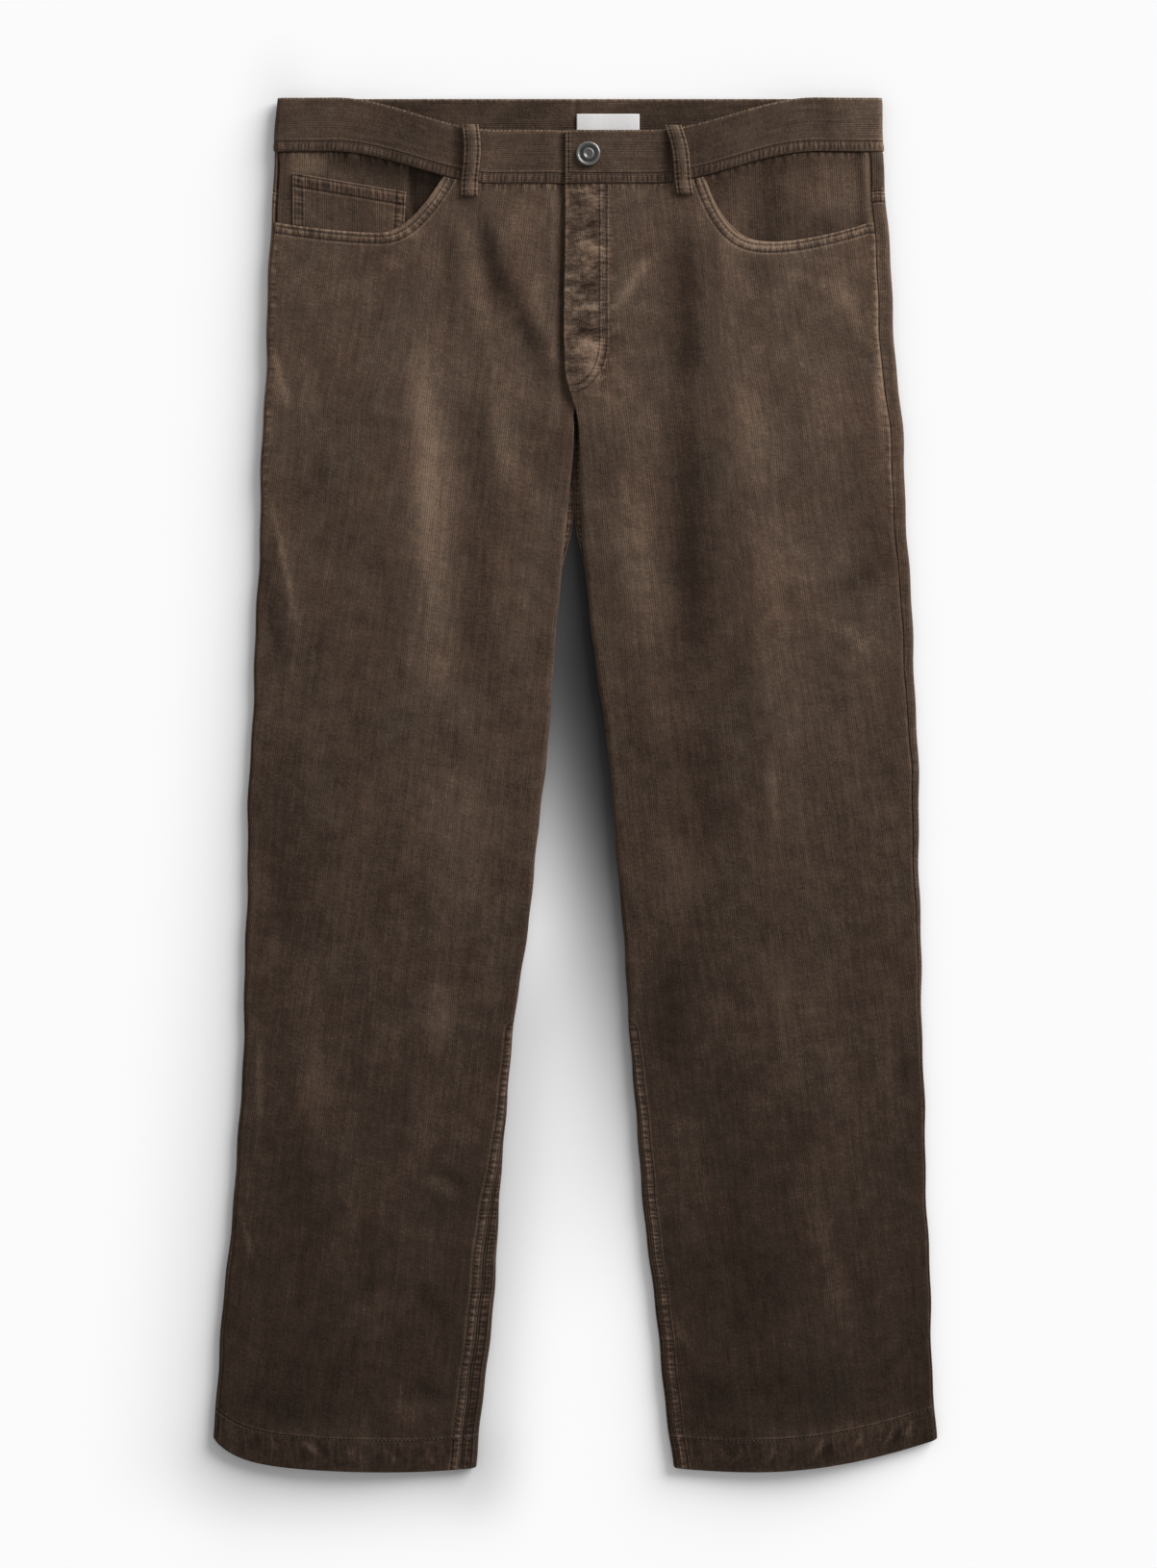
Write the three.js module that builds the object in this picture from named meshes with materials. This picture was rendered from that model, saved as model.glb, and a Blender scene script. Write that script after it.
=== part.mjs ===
// Men's five-pocket corduroy trousers, laid out flat with the front up, at real size.
//
// Frame, in millimetres: +Z is up from the surface that the trousers lie on, +Y runs along the
// garment to the waist, +X is across it, towards the wearer's left leg. The origin is under the
// middle of the garment. Right and left are the wearer's.
//
// Each leg is a flattened tube of cloth. Its section at one y is a loop: over the front from the
// inner edge (q = 0) to the outer edge (q = 1), then under the back to the inner edge (q = 2).
// Every cloth piece is a wall cut from that loop between two seams.
import * as THREE from "three";

// ---- Driving sizes ----
const waistY = 536; // top edge of the back waistband
const hemY = -536; // lowest point of the hems
const clothThick = 1.2; // one layer of corduroy
const hemThick = 2.6; // the turned-up hem
const hemDeep = 25;
const bandThick = 2.8; // the waistband is doubled cloth
const bandHigh = 42;
const bandProud = 0.8; // how far the band stands above the panels
const seamGap = 0.3;
const bandGap = 0.6; // at the curved seam under the waistband
const legTopY = 350; // from here down the front and the back share their rows
const edgeRadius = 4; // of the rolled side edges
const patchLift = 1.5; // the seat lies on its patch pockets: one layer and a gap
const crotchFrontY = 282; // where the two fronts part
const crotchBackY = 203; // where the two backs part
const frontDip = 26; // how far the front of the waistband drops at the centre
const flyEdgeX = -7; // the left front overlaps the right one up to this line
const underlap = 35; // what the right front and band carry on under the left
const panelSink = 4.5; // how far the right front dips to pass under the fly
const bandSink = 3.4;

// ---- Tables ----
// The outline of each leg: a row for each section, with x at the outer and the inner edge.
const outline = {
  right: [
    { y: 536, outer: -231, inner: -7 },
    { y: 436, outer: -237, inner: -7 },
    { y: 323, outer: -241, inner: -7 },
    { y: 282, outer: -243, inner: 0 },
    { y: 222, outer: -245, inner: -4 },
    { y: 162, outer: -247, inner: -10 },
    { y: 87, outer: -250, inner: -16 },
    { y: -3, outer: -254, inner: -24 },
    { y: -93, outer: -256, inner: -34 },
    { y: -183, outer: -258, inner: -46 },
    { y: -273, outer: -262, inner: -55 },
    { y: -363, outer: -270, inner: -60 },
    { y: -453, outer: -278, inner: -68 },
    { y: -536, outer: -284, inner: -77 },
  ],
  left: [
    { y: 536, outer: 239, inner: -7 },
    { y: 436, outer: 245, inner: -7 },
    { y: 323, outer: 252, inner: -7 },
    { y: 282, outer: 256, inner: 3 },
    { y: 222, outer: 259, inner: 4 },
    { y: 162, outer: 262, inner: 9 },
    { y: 87, outer: 266, inner: 18 },
    { y: -3, outer: 269, inner: 29 },
    { y: -93, outer: 270, inner: 36 },
    { y: -183, outer: 272, inner: 43 },
    { y: -273, outer: 274, inner: 49 },
    { y: -363, outer: 277, inner: 58 },
    { y: -453, outer: 280, inner: 68 },
    { y: -536, outer: 284, inner: 78 },
  ],
};

// How high the front stands over the back along the middle of each leg.
const loft = [
  { y: 536, high: 14 },
  { y: 464, high: 16 },
  { y: 323, high: 19 },
  { y: 87, high: 17 },
  { y: -183, high: 14.5 },
  { y: -536, high: 13 },
];

// Where the seams lie on the front face, measured along the cloth from the side edges.
const seams = {
  right: [
    { y: 536, outseam: 4, inseam: 0 },
    { y: -150, outseam: 3, inseam: 0 },
    { y: -273, outseam: 4, inseam: 3 },
    { y: -363, outseam: 5, inseam: 12 },
    { y: -536, outseam: 5, inseam: 15 },
  ],
  left: [
    { y: 536, outseam: 12, inseam: 0 },
    { y: 300, outseam: 13, inseam: 0 },
    { y: -150, outseam: 5, inseam: 0 },
    { y: -273, outseam: 3, inseam: 4 },
    { y: -536, outseam: 3, inseam: 6 },
  ],
};

// The largest folds of the fronts, from one end to the other. A trough has a negative height.
const folds = [
  { x1: -110, y1: 364, x2: -118, y2: 60, high: 3.0, wide: 24 },
  { x1: -91, y1: 320, x2: -73, y2: 150, high: -2.6, wide: 15 },
  { x1: -73, y1: 440, x2: -48, y2: 245, high: 2.4, wide: 16 },
  { x1: -238, y1: 240, x2: -217, y2: 90, high: 2.0, wide: 9 },
  { x1: -112, y1: 30, x2: -116, y2: -240, high: 2.2, wide: 22 },
  { x1: -212, y1: -120, x2: -182, y2: -420, high: 2.6, wide: 20 },
  { x1: 30, y1: 270, x2: 72, y2: -40, high: 2.8, wide: 20 },
  { x1: 80, y1: 350, x2: 106, y2: 0, high: -2.6, wide: 18 },
  { x1: 132, y1: 300, x2: 160, y2: -60, high: 3.0, wide: 22 },
  { x1: 168, y1: -100, x2: 212, y2: -430, high: 2.6, wide: 22 },
  { x1: 92, y1: -190, x2: 118, y2: -430, high: -2.0, wide: 24 },
];

// The scooped mouth of each front pocket: its lowest point, the rise to the side seam and the rise
// to the waistband, and how sharply that last one turns.
const mouths = {
  right: { lowX: -150, lowY: 430, sideX: -232, sideRise: 9, frontX: -101, frontRise: 45, turn: 2 },
  left: { lowX: 155, lowY: 423, sideX: 228, sideRise: 16, frontX: 101, frontRise: 52, turn: 3.2 },
};

// Belt loops. The x of a front loop is given at its two ends; the back loops are upright.
const beltLoops = [
  { name: "belt_loop_front_right", side: "right", face: "front", topX: -81, lowX: -80 },
  { name: "belt_loop_front_left", side: "left", face: "front", topX: 77, lowX: 88 },
  { name: "belt_loop_back_right", side: "right", face: "back", topX: -135, lowX: -135 },
  { name: "belt_loop_back_left", side: "left", face: "back", topX: 135, lowX: 135 },
  { name: "belt_loop_back_centre", side: "left", face: "back", topX: 9, lowX: 9 },
];
const beltLoop = { wide: 13, thick: 2, over: 4, tail: 12, bow: 1.6 };

const coinPocket = { fromX: -220, toX: -131, sideY: 478, frontY: 462, depth: 70 };
const facing = { deep: 4.5, reach: 18, below: 24 };
const patchPocket = { insideX: 52, wide: 150, topY: 404, high: 138, point: 18, taper: 7, thick: 1.2 };
const yoke = { sideY: 463, centreY: 424 };
const label = { fromX: 2, toX: 51, topY: 524, high: 34, thick: 1 };
const button = { x: 11, y: 491, radius: 9.5, high: 3.2, rim: 1.6 };

// ---- Small helpers ----
const { PI, abs, acos, cos, exp, hypot, max, min, round, sin, sqrt } = Math;
const clamp = (t) => min(1, max(0, t));
const smooth = (t) => clamp(t) ** 2 * (3 - 2 * clamp(t));
const mix = (a, b, t) => a + (b - a) * t;
const sign = (side) => (side === "left" ? 1 : -1);

// A smooth curve through one column of a table whose rows run from high y to low y.
function along(table, column, y) {
  const last = table.length - 1;
  let i = table.findIndex((row) => row.y < y) - 1;
  if (i === -2) i = last - 1;
  i = min(last - 1, max(0, i));
  const [a, b, c, d] = [max(0, i - 1), i, i + 1, min(last, i + 2)].map((k) => table[k]);
  const slope = (p, r) => (r[column] - p[column]) / (r.y - p.y);
  const span = c.y - b.y;
  const t = clamp((y - b.y) / span);
  const slopeB = slope(a, c) * span;
  const slopeC = slope(b, d) * span;
  return (
    b[column] * (2 * t ** 3 - 3 * t ** 2 + 1) +
    slopeB * (t ** 3 - 2 * t ** 2 + t) +
    c[column] * (3 * t ** 2 - 2 * t ** 3) +
    slopeC * (t ** 3 - t ** 2)
  );
}

// ---- The form of the garment ----
const frontParted = (y) => smooth((crotchFrontY + 10 - y) / 70);
const backParted = (y) => smooth((crotchBackY + 12 - y) / 50);
const seatLift = (y) => patchLift * smooth((y - crotchBackY + 3) / 45);

function edgesOf(side, y, face) {
  const outer = along(outline[side], "outer", y);
  let inner = along(outline[side], "inner", y);
  if (face === "back") inner = mix((sign(side) * seamGap) / 2, inner, backParted(y));
  else if (side === "right") inner += underlap * smooth((y - crotchFrontY - 3) / 55);
  return { middle: (outer + inner) / 2, half: abs(outer - inner) / 2 };
}

function foldHeight(x, y) {
  let total = 0;
  for (const { x1, y1, x2, y2, high, wide } of folds) {
    const long = hypot(x2 - x1, y2 - y1);
    const t = ((x - x1) * (x2 - x1) + (y - y1) * (y2 - y1)) / long ** 2;
    const off = ((x - x1) * (y2 - y1) - (y - y1) * (x2 - x1)) / long;
    total += high * exp(-((off / wide) ** 2)) * smooth(2.5 * t) * smooth(2.5 * (1 - t));
  }
  return total;
}

// How far the cloth of the right side drops to pass under the fly and the end of the band.
function sink(side, x, y, deep) {
  if (side === "left") return 0;
  return deep * smooth((x - flyEdgeX + 17) / 15) * smooth((y - crotchFrontY + 16) / 45);
}

// Height of the rolled edge and the swell behind it, at a distance in from the edge.
function swell(inward, half, high) {
  const edge = 2 * edgeRadius;
  if (inward < edgeRadius) return edgeRadius + sqrt(edgeRadius ** 2 - (edgeRadius - inward) ** 2);
  const t = clamp((inward - edgeRadius) / (half - edgeRadius));
  return edge + (high - edge) * sin((PI / 2) * t) ** 2;
}

function frontPoint(side, q, y, deep) {
  const { middle, half } = edgesOf(side, y, "front");
  const across = cos(PI * q); // 1 at the inner edge, -1 at the outer edge
  const x = middle - sign(side) * half * across;
  const high = along(loft, "high", y);
  const inward = half * (1 - abs(across));
  const rolled = swell(inward, half, high);
  const z = across > 0 ? mix(high, rolled, frontParted(y)) : rolled;
  const calm = smooth(inward / 12) * (across > 0 ? 1 : smooth(inward / 25));
  return new THREE.Vector3(x, y, seatLift(y) + z + foldHeight(x, y) * calm - sink(side, x, y, deep));
}

function backPoint(side, q, y) {
  const { middle, half } = edgesOf(side, y, "back");
  const across = cos(PI * (q - 1)); // 1 at the outer edge, -1 at the inner edge
  const x = middle + sign(side) * half * across;
  const inward = half * (1 - abs(across));
  const curl = across > 0 ? 1 : backParted(y);
  const roll = inward < edgeRadius ? edgeRadius - sqrt(edgeRadius ** 2 - (edgeRadius - inward) ** 2) : 0;
  return new THREE.Vector3(x, y, seatLift(y) + curl * roll);
}

function surface(side, q, y, deep = panelSink) {
  if (q <= 1) return frontPoint(side, q, y, deep);
  return q <= 2 ? backPoint(side, q, y) : frontPoint(side, q - 2, y, deep);
}

function outward(side, q, y, deep) {
  const step = 1e-3;
  const acrossCloth = surface(side, q + step, y, deep).sub(surface(side, max(0, q - step), y, deep));
  const alongCloth = surface(side, q, y + 1, deep).sub(surface(side, q, y - 1, deep));
  return acrossCloth.cross(alongCloth).multiplyScalar(sign(side)).normalize();
}

// The point of the loop that lies a length of cloth away from a side edge.
function turn(side, y, arc) {
  const quarter = (edgeRadius * PI) / 2;
  const bent = edgeRadius * (1 - cos(min(arc, quarter) / edgeRadius));
  return acos(1 - (bent + max(0, arc - quarter)) / edgesOf(side, y, "back").half) / PI;
}
const frontStart = (side, y) => turn(side, y, along(seams[side], "inseam", y) + seamGap / 2);
const frontEnd = (side, y) => 1 - turn(side, y, along(seams[side], "outseam", y) + seamGap / 2);
const backStart = (side, y) => 1 - turn(side, y, along(seams[side], "outseam", y) - seamGap / 2);
function backEnd(side, y) {
  const inseam = along(seams[side], "inseam", y) - seamGap / 2;
  return inseam > 0 ? 2 + turn(side, y, inseam) : 2 - turn(side, y, -inseam);
}

// Edges that the pieces share, as y at a given x.
const dip = (x) => frontDip * smooth((190 - abs(x)) / 130);
const bandTop = (x, face) => waistY - (face === "front" ? dip(x) : 0);
const bandLow = (x, face) => bandTop(x, face) - bandHigh;
const yokeLine = (x) => mix(yoke.centreY, yoke.sideY, clamp(abs(x) / 235));
function hemLine(x) {
  const low = 135;
  const outside = 25 * (max(0, abs(x) - low) / 148) ** 2;
  return hemY + outside + 3 * (max(0, low - abs(x)) / 58) ** 2;
}
function mouthLine(side, x) {
  const m = mouths[side];
  const toSide = clamp((x - m.lowX) / (m.sideX - m.lowX));
  const toFront = clamp((x - m.lowX) / (m.frontX - m.lowX));
  return m.lowY + m.sideRise * toSide ** 1.5 + m.frontRise * toFront ** m.turn;
}

// ---- Solids ----
// A closed wall from a grid of outer points and the inner points under them.
function wall(columns, rows, outerAt, innerAt) {
  const points = [];
  for (const at of [outerAt, innerAt])
    for (let j = 0; j <= rows; j++) for (let i = 0; i <= columns; i++) points.push(at(i / columns, j / rows));
  const index = [];
  const id = (i, j, layer) => layer * (columns + 1) * (rows + 1) + j * (columns + 1) + i;
  const quad = (a, b, c, d) => index.push(a, b, c, a, c, d);
  for (let j = 0; j < rows; j++)
    for (let i = 0; i < columns; i++) {
      quad(id(i, j, 0), id(i + 1, j, 0), id(i + 1, j + 1, 0), id(i, j + 1, 0));
      quad(id(i, j + 1, 1), id(i + 1, j + 1, 1), id(i + 1, j, 1), id(i, j, 1));
    }
  for (let i = 0; i < columns; i++) {
    quad(id(i, 0, 0), id(i, 0, 1), id(i + 1, 0, 1), id(i + 1, 0, 0));
    quad(id(i, rows, 0), id(i + 1, rows, 0), id(i + 1, rows, 1), id(i, rows, 1));
  }
  for (let j = 0; j < rows; j++) {
    quad(id(0, j, 0), id(0, j + 1, 0), id(0, j + 1, 1), id(0, j, 1));
    quad(id(columns, j, 0), id(columns, j, 1), id(columns, j + 1, 1), id(columns, j + 1, 0));
  }
  let volume = 0;
  for (let k = 0; k < index.length; k += 3) {
    const [a, b, c] = [0, 1, 2].map((n) => points[index[k + n]]);
    volume += a.dot(b.clone().cross(c));
  }
  if (volume < 0) index.reverse();
  const geometry = new THREE.BufferGeometry();
  geometry.setFromPoints(points);
  geometry.setIndex(index);
  geometry.computeVertexNormals();
  return geometry;
}

// A piece of the leg tube: q runs between two seams and y between two edges. A piece that goes down
// the leg has some rows above legTopY and legRows below it, with the last one as deep as the hem.
function tubePiece({ side, columns, rows, legRows = 0, from, to, top, low, depth = () => 0 }) {
  const across = (f, y) => surface(side, mix(from(y), to(y), f), y).x;
  const place = (f, v, layer) => {
    const upper = across(f, waistY - bandHigh);
    const row = round(v * (rows + legRows));
    const hem = hemLine(across(f, hemY));
    const last = legRows ? legTopY : low(upper);
    const y = row > rows ? legRow(row - rows, legRows, hem) : mix(top(upper), last, row / rows);
    const q = mix(from(y), to(y), f);
    const p = surface(side, q, y);
    const thick = legRows && y < hem + hemDeep + 1 ? hemThick : clothThick;
    return p.addScaledVector(outward(side, q, y), -depth(p.x, y) - layer * thick);
  };
  return wall(columns, rows + legRows, (f, v) => place(f, v, 0), (f, v) => place(f, v, 1));
}

function legRow(row, count, hem) {
  const plain = count - 2;
  if (row <= plain) return mix(legTopY, hem + hemDeep + 2, row / plain);
  return row < count ? hem + hemDeep : hem;
}

// A piece laid on the front or the back: plan gives x and y, and stand its height off the cloth.
function laidPiece({ side, face, columns, rows, plan, stand, thick, deep }) {
  const place = (f, v, extra) => {
    const { x, y } = plan(f, v);
    const { middle, half } = edgesOf(side, y, face);
    const inner = clamp(((x - middle) * -sign(side)) / half / 2 + 0.5) * 2 - 1;
    const q = face === "front" ? acos(inner) / PI : 2 - acos(inner) / PI;
    return surface(side, q, y, deep).addScaledVector(outward(side, q, y, deep), stand(f, v) + extra);
  };
  return wall(columns, rows, (f, v) => place(f, v, thick), (f, v) => place(f, v, 0));
}

const colours = {
  corduroy: { color: 0x594a3c, roughness: 0.95, metalness: 0 },
  label: { color: 0xe6e2dc, roughness: 0.8, metalness: 0 },
  metal: { color: 0x77736c, roughness: 0.4, metalness: 0.9 },
};
const trousers = new THREE.Group();
function add(name, geometry, finish = "corduroy") {
  const mesh = new THREE.Mesh(geometry, new THREE.MeshStandardMaterial(colours[finish]));
  mesh.name = name;
  trousers.add(mesh);
  return mesh;
}

function frontPanel(side) {
  const top = (x) => min(bandLow(x, "front") - bandGap, mouthSide(side, x));
  return tubePiece({
    side,
    columns: 16,
    rows: 5,
    legRows: 23,
    from: (y) => frontStart(side, y) * frontParted(y),
    to: (y) => frontEnd(side, y),
    top,
  });
}

// The top of a front panel outside the pocket mouth is the waistband seam.
function mouthSide(side, x) {
  const beyond = (x - mouths[side].frontX) * sign(side);
  return beyond > 0 ? mouthLine(side, x) : Infinity;
}

function backPanel(side) {
  return tubePiece({
    side,
    columns: 10,
    rows: 2,
    legRows: 23,
    from: (y) => backStart(side, y),
    to: (y) => backEnd(side, y),
    top: (x) => yokeLine(x) - seamGap,
  });
}

function yokePanel(side) {
  return tubePiece({
    side,
    columns: 10,
    rows: 2,
    from: (y) => backStart(side, y),
    to: (y) => backEnd(side, y),
    top: (x) => bandLow(x, "back") - seamGap,
    low: (x) => yokeLine(x),
  });
}

// The cloth behind a pocket mouth, sewn into the waistband and the side seam.
function facingDepth(x, y) {
  return mix(1.6, facing.deep, smooth((bandLow(x, "front") - y) / 15));
}

function pocketFacing(side) {
  const m = mouths[side];
  const innerX = m.frontX - sign(side) * facing.reach;
  return tubePiece({
    side,
    columns: 12,
    rows: 5,
    from: (y) => {
      const { middle, half } = edgesOf(side, y, "front");
      return acos(((innerX - middle) * -sign(side)) / half) / PI;
    },
    to: (y) => frontEnd(side, y),
    top: (x) => bandLow(x, "front") - bandGap,
    low: () => m.lowY - facing.below,
    depth: facingDepth,
  });
}

function coinPocketPatch() {
  const edge = (f) => mix(coinPocket.sideY, coinPocket.frontY, f);
  const plan = (f, v) => {
    const x = mix(coinPocket.fromX, coinPocket.toX, f) - 4 * v * f;
    return { x, y: edge(f) - coinPocket.depth * v };
  };
  return laidPiece({
    side: "right",
    face: "front",
    columns: 6,
    rows: 3,
    plan,
    stand: (f, v) => 1.5 * seamGap - facingDepth(plan(f, v).x, plan(f, v).y),
    thick: clothThick,
  });
}

// One strip: from the overlapping left end round the left hip, the back and the right hip to the
// end that passes under it.
function waistband() {
  const place = (f, v, depth) => {
    const side = f < 0.5 ? "left" : "right";
    const q = f < 0.5 ? 4 * f : 4 * (1 - f);
    const face = q < 1 ? "front" : "back";
    const { x } = surface(side, q, 500);
    const y = bandTop(x, face) - bandHigh * v;
    const p = surface(side, q, y, bandSink);
    return p.addScaledVector(outward(side, q, y, bandSink), -depth);
  };
  const outer = (f, v) => place(f, v, -bandProud * (f > 0.25 && f < 0.75 ? 0 : 1));
  return wall(76, 2, outer, (f, v) => place(f, v, bandThick - bandProud));
}

function beltLoopStrip({ side, face, topX, lowX }) {
  const topY = bandTop(topX, face) + (face === "front" ? 2 : -1);
  const lowY = bandLow(lowX, face) - beltLoop.tail;
  const bandEnd = (topY - bandLow(topX, face)) / (topY - lowY);
  const outer = face === "front";
  const proud = outer ? bandProud : 0;
  return laidPiece({
    side,
    face,
    columns: 2,
    rows: outer ? 8 : 3,
    plan: (f, v) => ({ x: mix(topX, lowX, v) + (f - 0.5) * beltLoop.wide, y: mix(topY, lowY, v) }),
    stand: (f, v) => {
      const bow = outer ? beltLoop.bow * sin(PI * clamp(v / bandEnd)) : 0;
      return seamGap + proud * smooth((bandEnd + 0.1 - v) / 0.08) + bow;
    },
    thick: outer ? beltLoop.thick : clothThick,
  });
}

function patchPocketPanel(side) {
  const s = sign(side);
  return laidPiece({
    side,
    face: "back",
    columns: 6,
    rows: 3,
    plan: (f, v) => {
      const narrow = patchPocket.taper * v * (1 - 2 * f);
      const x = s * (patchPocket.insideX + patchPocket.wide * f + narrow);
      const pointed = patchPocket.point * (1 - abs(2 * f - 1)) * v;
      return { x, y: patchPocket.topY + 12 * (f - 0.5) - patchPocket.high * v - pointed };
    },
    stand: () => seamGap,
    thick: patchPocket.thick,
  });
}

function neckLabel() {
  return wall(
    4,
    1,
    (f, v) => labelPoint(f, v, label.thick),
    (f, v) => labelPoint(f, v, 0),
  );
}

// The label lies on the inside of the back waistband.
function labelPoint(f, v, extra) {
  const x = mix(label.fromX, label.toX, f);
  const y = label.topY - label.high * v;
  return new THREE.Vector3(x, y, seatLift(y) + bandThick - bandProud + seamGap + extra);
}

// A dished shank button: a rim round a sunk ring and a raised eye, closed underneath.
function buttonHead() {
  const { radius, high, rim } = button;
  const profile = [
    [0, 0],
    [radius - 1, 0],
    [radius, 0.9],
    [radius, high - 0.8],
    [radius - rim / 2, high],
    [radius - rim, high - 0.7],
    [radius * 0.42, high - 0.9],
    [radius * 0.32, high - 0.2],
    [radius * 0.2, high - 0.6],
    [0, high - 1.2],
  ].map(([r, z]) => new THREE.Vector2(r, z));
  const geometry = new THREE.LatheGeometry(profile, 20);
  geometry.rotateX(PI / 2);
  return geometry;
}

for (const side of ["right", "left"]) {
  add(`front_${side}`, frontPanel(side));
  add(`back_${side}`, backPanel(side));
  add(`yoke_${side}`, yokePanel(side));
  add(`pocket_facing_${side}`, pocketFacing(side));
  add(`patch_pocket_${side}`, patchPocketPanel(side));
}
add("waistband", waistband());
add("coin_pocket", coinPocketPatch());
for (const row of beltLoops) add(row.name, beltLoopStrip(row));
add("label", neckLabel(), "label");
const head = add("button", buttonHead(), "metal");
head.position.set(button.x, button.y, buttonSeat());

// The button sits on the highest point of the band under it.
function buttonSeat() {
  const { middle, half } = edgesOf("left", button.y, "front");
  const q = acos(-(button.x - middle) / half) / PI;
  return surface("left", q, button.y).z + bandProud + seamGap;
}

export default trousers;
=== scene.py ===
"""Men's five-pocket corduroy trousers, laid out flat with the front up, at real size."""

import math

import bmesh
import bpy
import numpy as np
from bpy.props import FloatProperty, FloatVectorProperty, PointerProperty
from mathutils import Matrix, Vector


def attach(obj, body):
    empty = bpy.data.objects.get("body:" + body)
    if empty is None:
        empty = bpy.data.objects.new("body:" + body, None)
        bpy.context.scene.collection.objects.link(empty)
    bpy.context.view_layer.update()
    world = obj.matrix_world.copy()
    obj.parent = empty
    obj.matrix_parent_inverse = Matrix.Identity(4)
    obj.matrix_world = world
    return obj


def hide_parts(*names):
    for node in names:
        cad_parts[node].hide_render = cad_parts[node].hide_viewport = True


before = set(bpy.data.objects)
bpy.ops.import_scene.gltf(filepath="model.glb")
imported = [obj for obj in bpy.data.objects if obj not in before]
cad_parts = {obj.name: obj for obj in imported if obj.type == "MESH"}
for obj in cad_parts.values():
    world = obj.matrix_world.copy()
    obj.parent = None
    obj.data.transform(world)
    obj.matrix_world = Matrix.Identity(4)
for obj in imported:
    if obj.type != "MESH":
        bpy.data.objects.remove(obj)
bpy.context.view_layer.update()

bl_info = {
    "name": "Corduroy Trousers",
    "version": (1, 0, 0),
    "blender": (4, 5, 0),
    "location": "View3D > Sidebar > Trousers",
    "description": "Makes a pair of men's corduroy trousers, laid out flat",
    "category": "Add Mesh",
}

# ---------------------------------------------------------------------------------------------
# The cut, in millimetres, but for the floor's height, which is in metres. +Y runs to the waist,
# +X to the wearer's left, +Z up from the surface.
# ---------------------------------------------------------------------------------------------
WAIST_Y = 536
HEM_Y = -536
HEM_DEEP = 25
BAND_HIGH = 42
BAND_PROUD = 0.8
CLOTH_THICK = 1.4
HEM_THICK = 2.6
LINING_THICK = 1.2
BAND_THICK = 2.0
SEAM_GAP = 0.3
EDGE_RADIUS = 4
PATCH_LIFT = 1.5
CROTCH_FRONT_Y = 282
CROTCH_BACK_Y = 203
FRONT_DIP = 26
FLY_EDGE_X = -7
FLY_ROWS = {"insets": (26, 32), "top": 468, "turn": 345, "low": 312}
MOUTH_ROWS = (3.2, 8.4)
INSEAM_ROWS = (1.6, 7.2)
BACK_ROWS = (2.0, 8.0)
BAND_ROW = 8
UNDERLAP = 35
PANEL_SINK = 4.5
BAND_SINK = 3.4
SIGN = {"right": -1, "left": 1}
LOOP_WIDE = 13
LOOP_THICK = 2.0
LABEL = {"left": 2, "right": 51, "top": 524, "deep": 34}
BUTTON = (11, 491)
FLOOR_Z = -0.0005
RIB_LEAN, FACING_LEAN = math.radians(6.5), math.radians(3)

OUTLINE = {
    "right": {
        "y": [536, 436, 323, 282, 222, 162, 87, -3, -93, -183, -273, -363, -453, -536],
        "outer": [-231, -237, -241, -243, -245, -247, -250, -254, -256, -258, -262, -270, -278, -284],
        "inner": [-7, -7, -7, 0, -4, -10, -16, -24, -34, -46, -55, -60, -68, -77],
    },
    "left": {
        "y": [536, 436, 323, 282, 222, 162, 87, -3, -93, -183, -273, -363, -453, -536],
        "outer": [239, 245, 252, 256, 259, 262, 266, 269, 270, 272, 274, 277, 280, 284],
        "inner": [-7, -7, -7, 3, 4, 9, 18, 29, 36, 43, 49, 58, 68, 78],
    },
}
LOFT = {"y": [536, 464, 323, 87, -183, -536], "high": [14, 16, 19, 17, 14.5, 13]}
SEAMS = {
    "right": {
        "y": [536, -150, -273, -363, -536],
        "outseam": [4, 3, 4, 5, 5],
        "inseam": [0, 0, 3, 12, 15],
    },
    "left": {
        "y": [536, 300, -150, -273, -536],
        "outseam": [12, 13, 5, 3, 3],
        "inseam": [0, 0, 0, 4, 6],
    },
}
MOUTHS = {
    "right": {"low": (-150, 430), "side": (-232, 9), "front": (-101, 45), "turn": 2},
    "left": {"low": (155, 423), "side": (228, 16), "front": (101, 52), "turn": 3.2},
}
# Folds of the fronts: from x1, y1 to x2, y2, how high, and how wide. Troughs are negative.
BROAD_FOLDS = [
    (-110, 364, -118, 60, 3.0, 24),
    (-91, 320, -73, 150, -2.6, 15),
    (-73, 440, -48, 245, 2.4, 16),
    (-238, 240, -217, 90, 2.0, 9),
    (-112, 30, -116, -240, 2.2, 22),
    (-212, -120, -182, -420, 2.6, 20),
    (30, 270, 72, -40, 2.8, 20),
    (80, 350, 106, 0, -2.6, 18),
    (132, 300, 160, -60, 3.0, 22),
    (168, -100, 212, -430, 2.6, 22),
    (92, -190, 118, -430, -2.0, 24),
]
SMALL_FOLDS = [
    (-165, 413, -131, 421, 0.8, 3.5),
    (-120, 452, -60, 396, 1.0, 8),
    (25, 372, 62, 410, 1.2, 7),
    (14, 352, 52, 352, 0.9, 5),
    (165, 410, 222, 392, 1.0, 6),
    (168, 398, 214, 378, 0.8, 5),
    (188, 138, 224, 102, 0.9, 5),
    (150, 156, 182, 118, -0.8, 5),
    (-118, -306, -86, -334, 0.9, 6),
    (-150, -392, -112, -398, -0.8, 6),
    (-128, -476, -98, -488, -0.8, 5),
    (196, -508, 212, -530, 0.8, 4),
    (244, -494, 262, -512, 0.8, 4),
    (-212, -506, -196, -528, 0.8, 4),
    (-178, -512, -168, -530, 0.7, 4),
]
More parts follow.
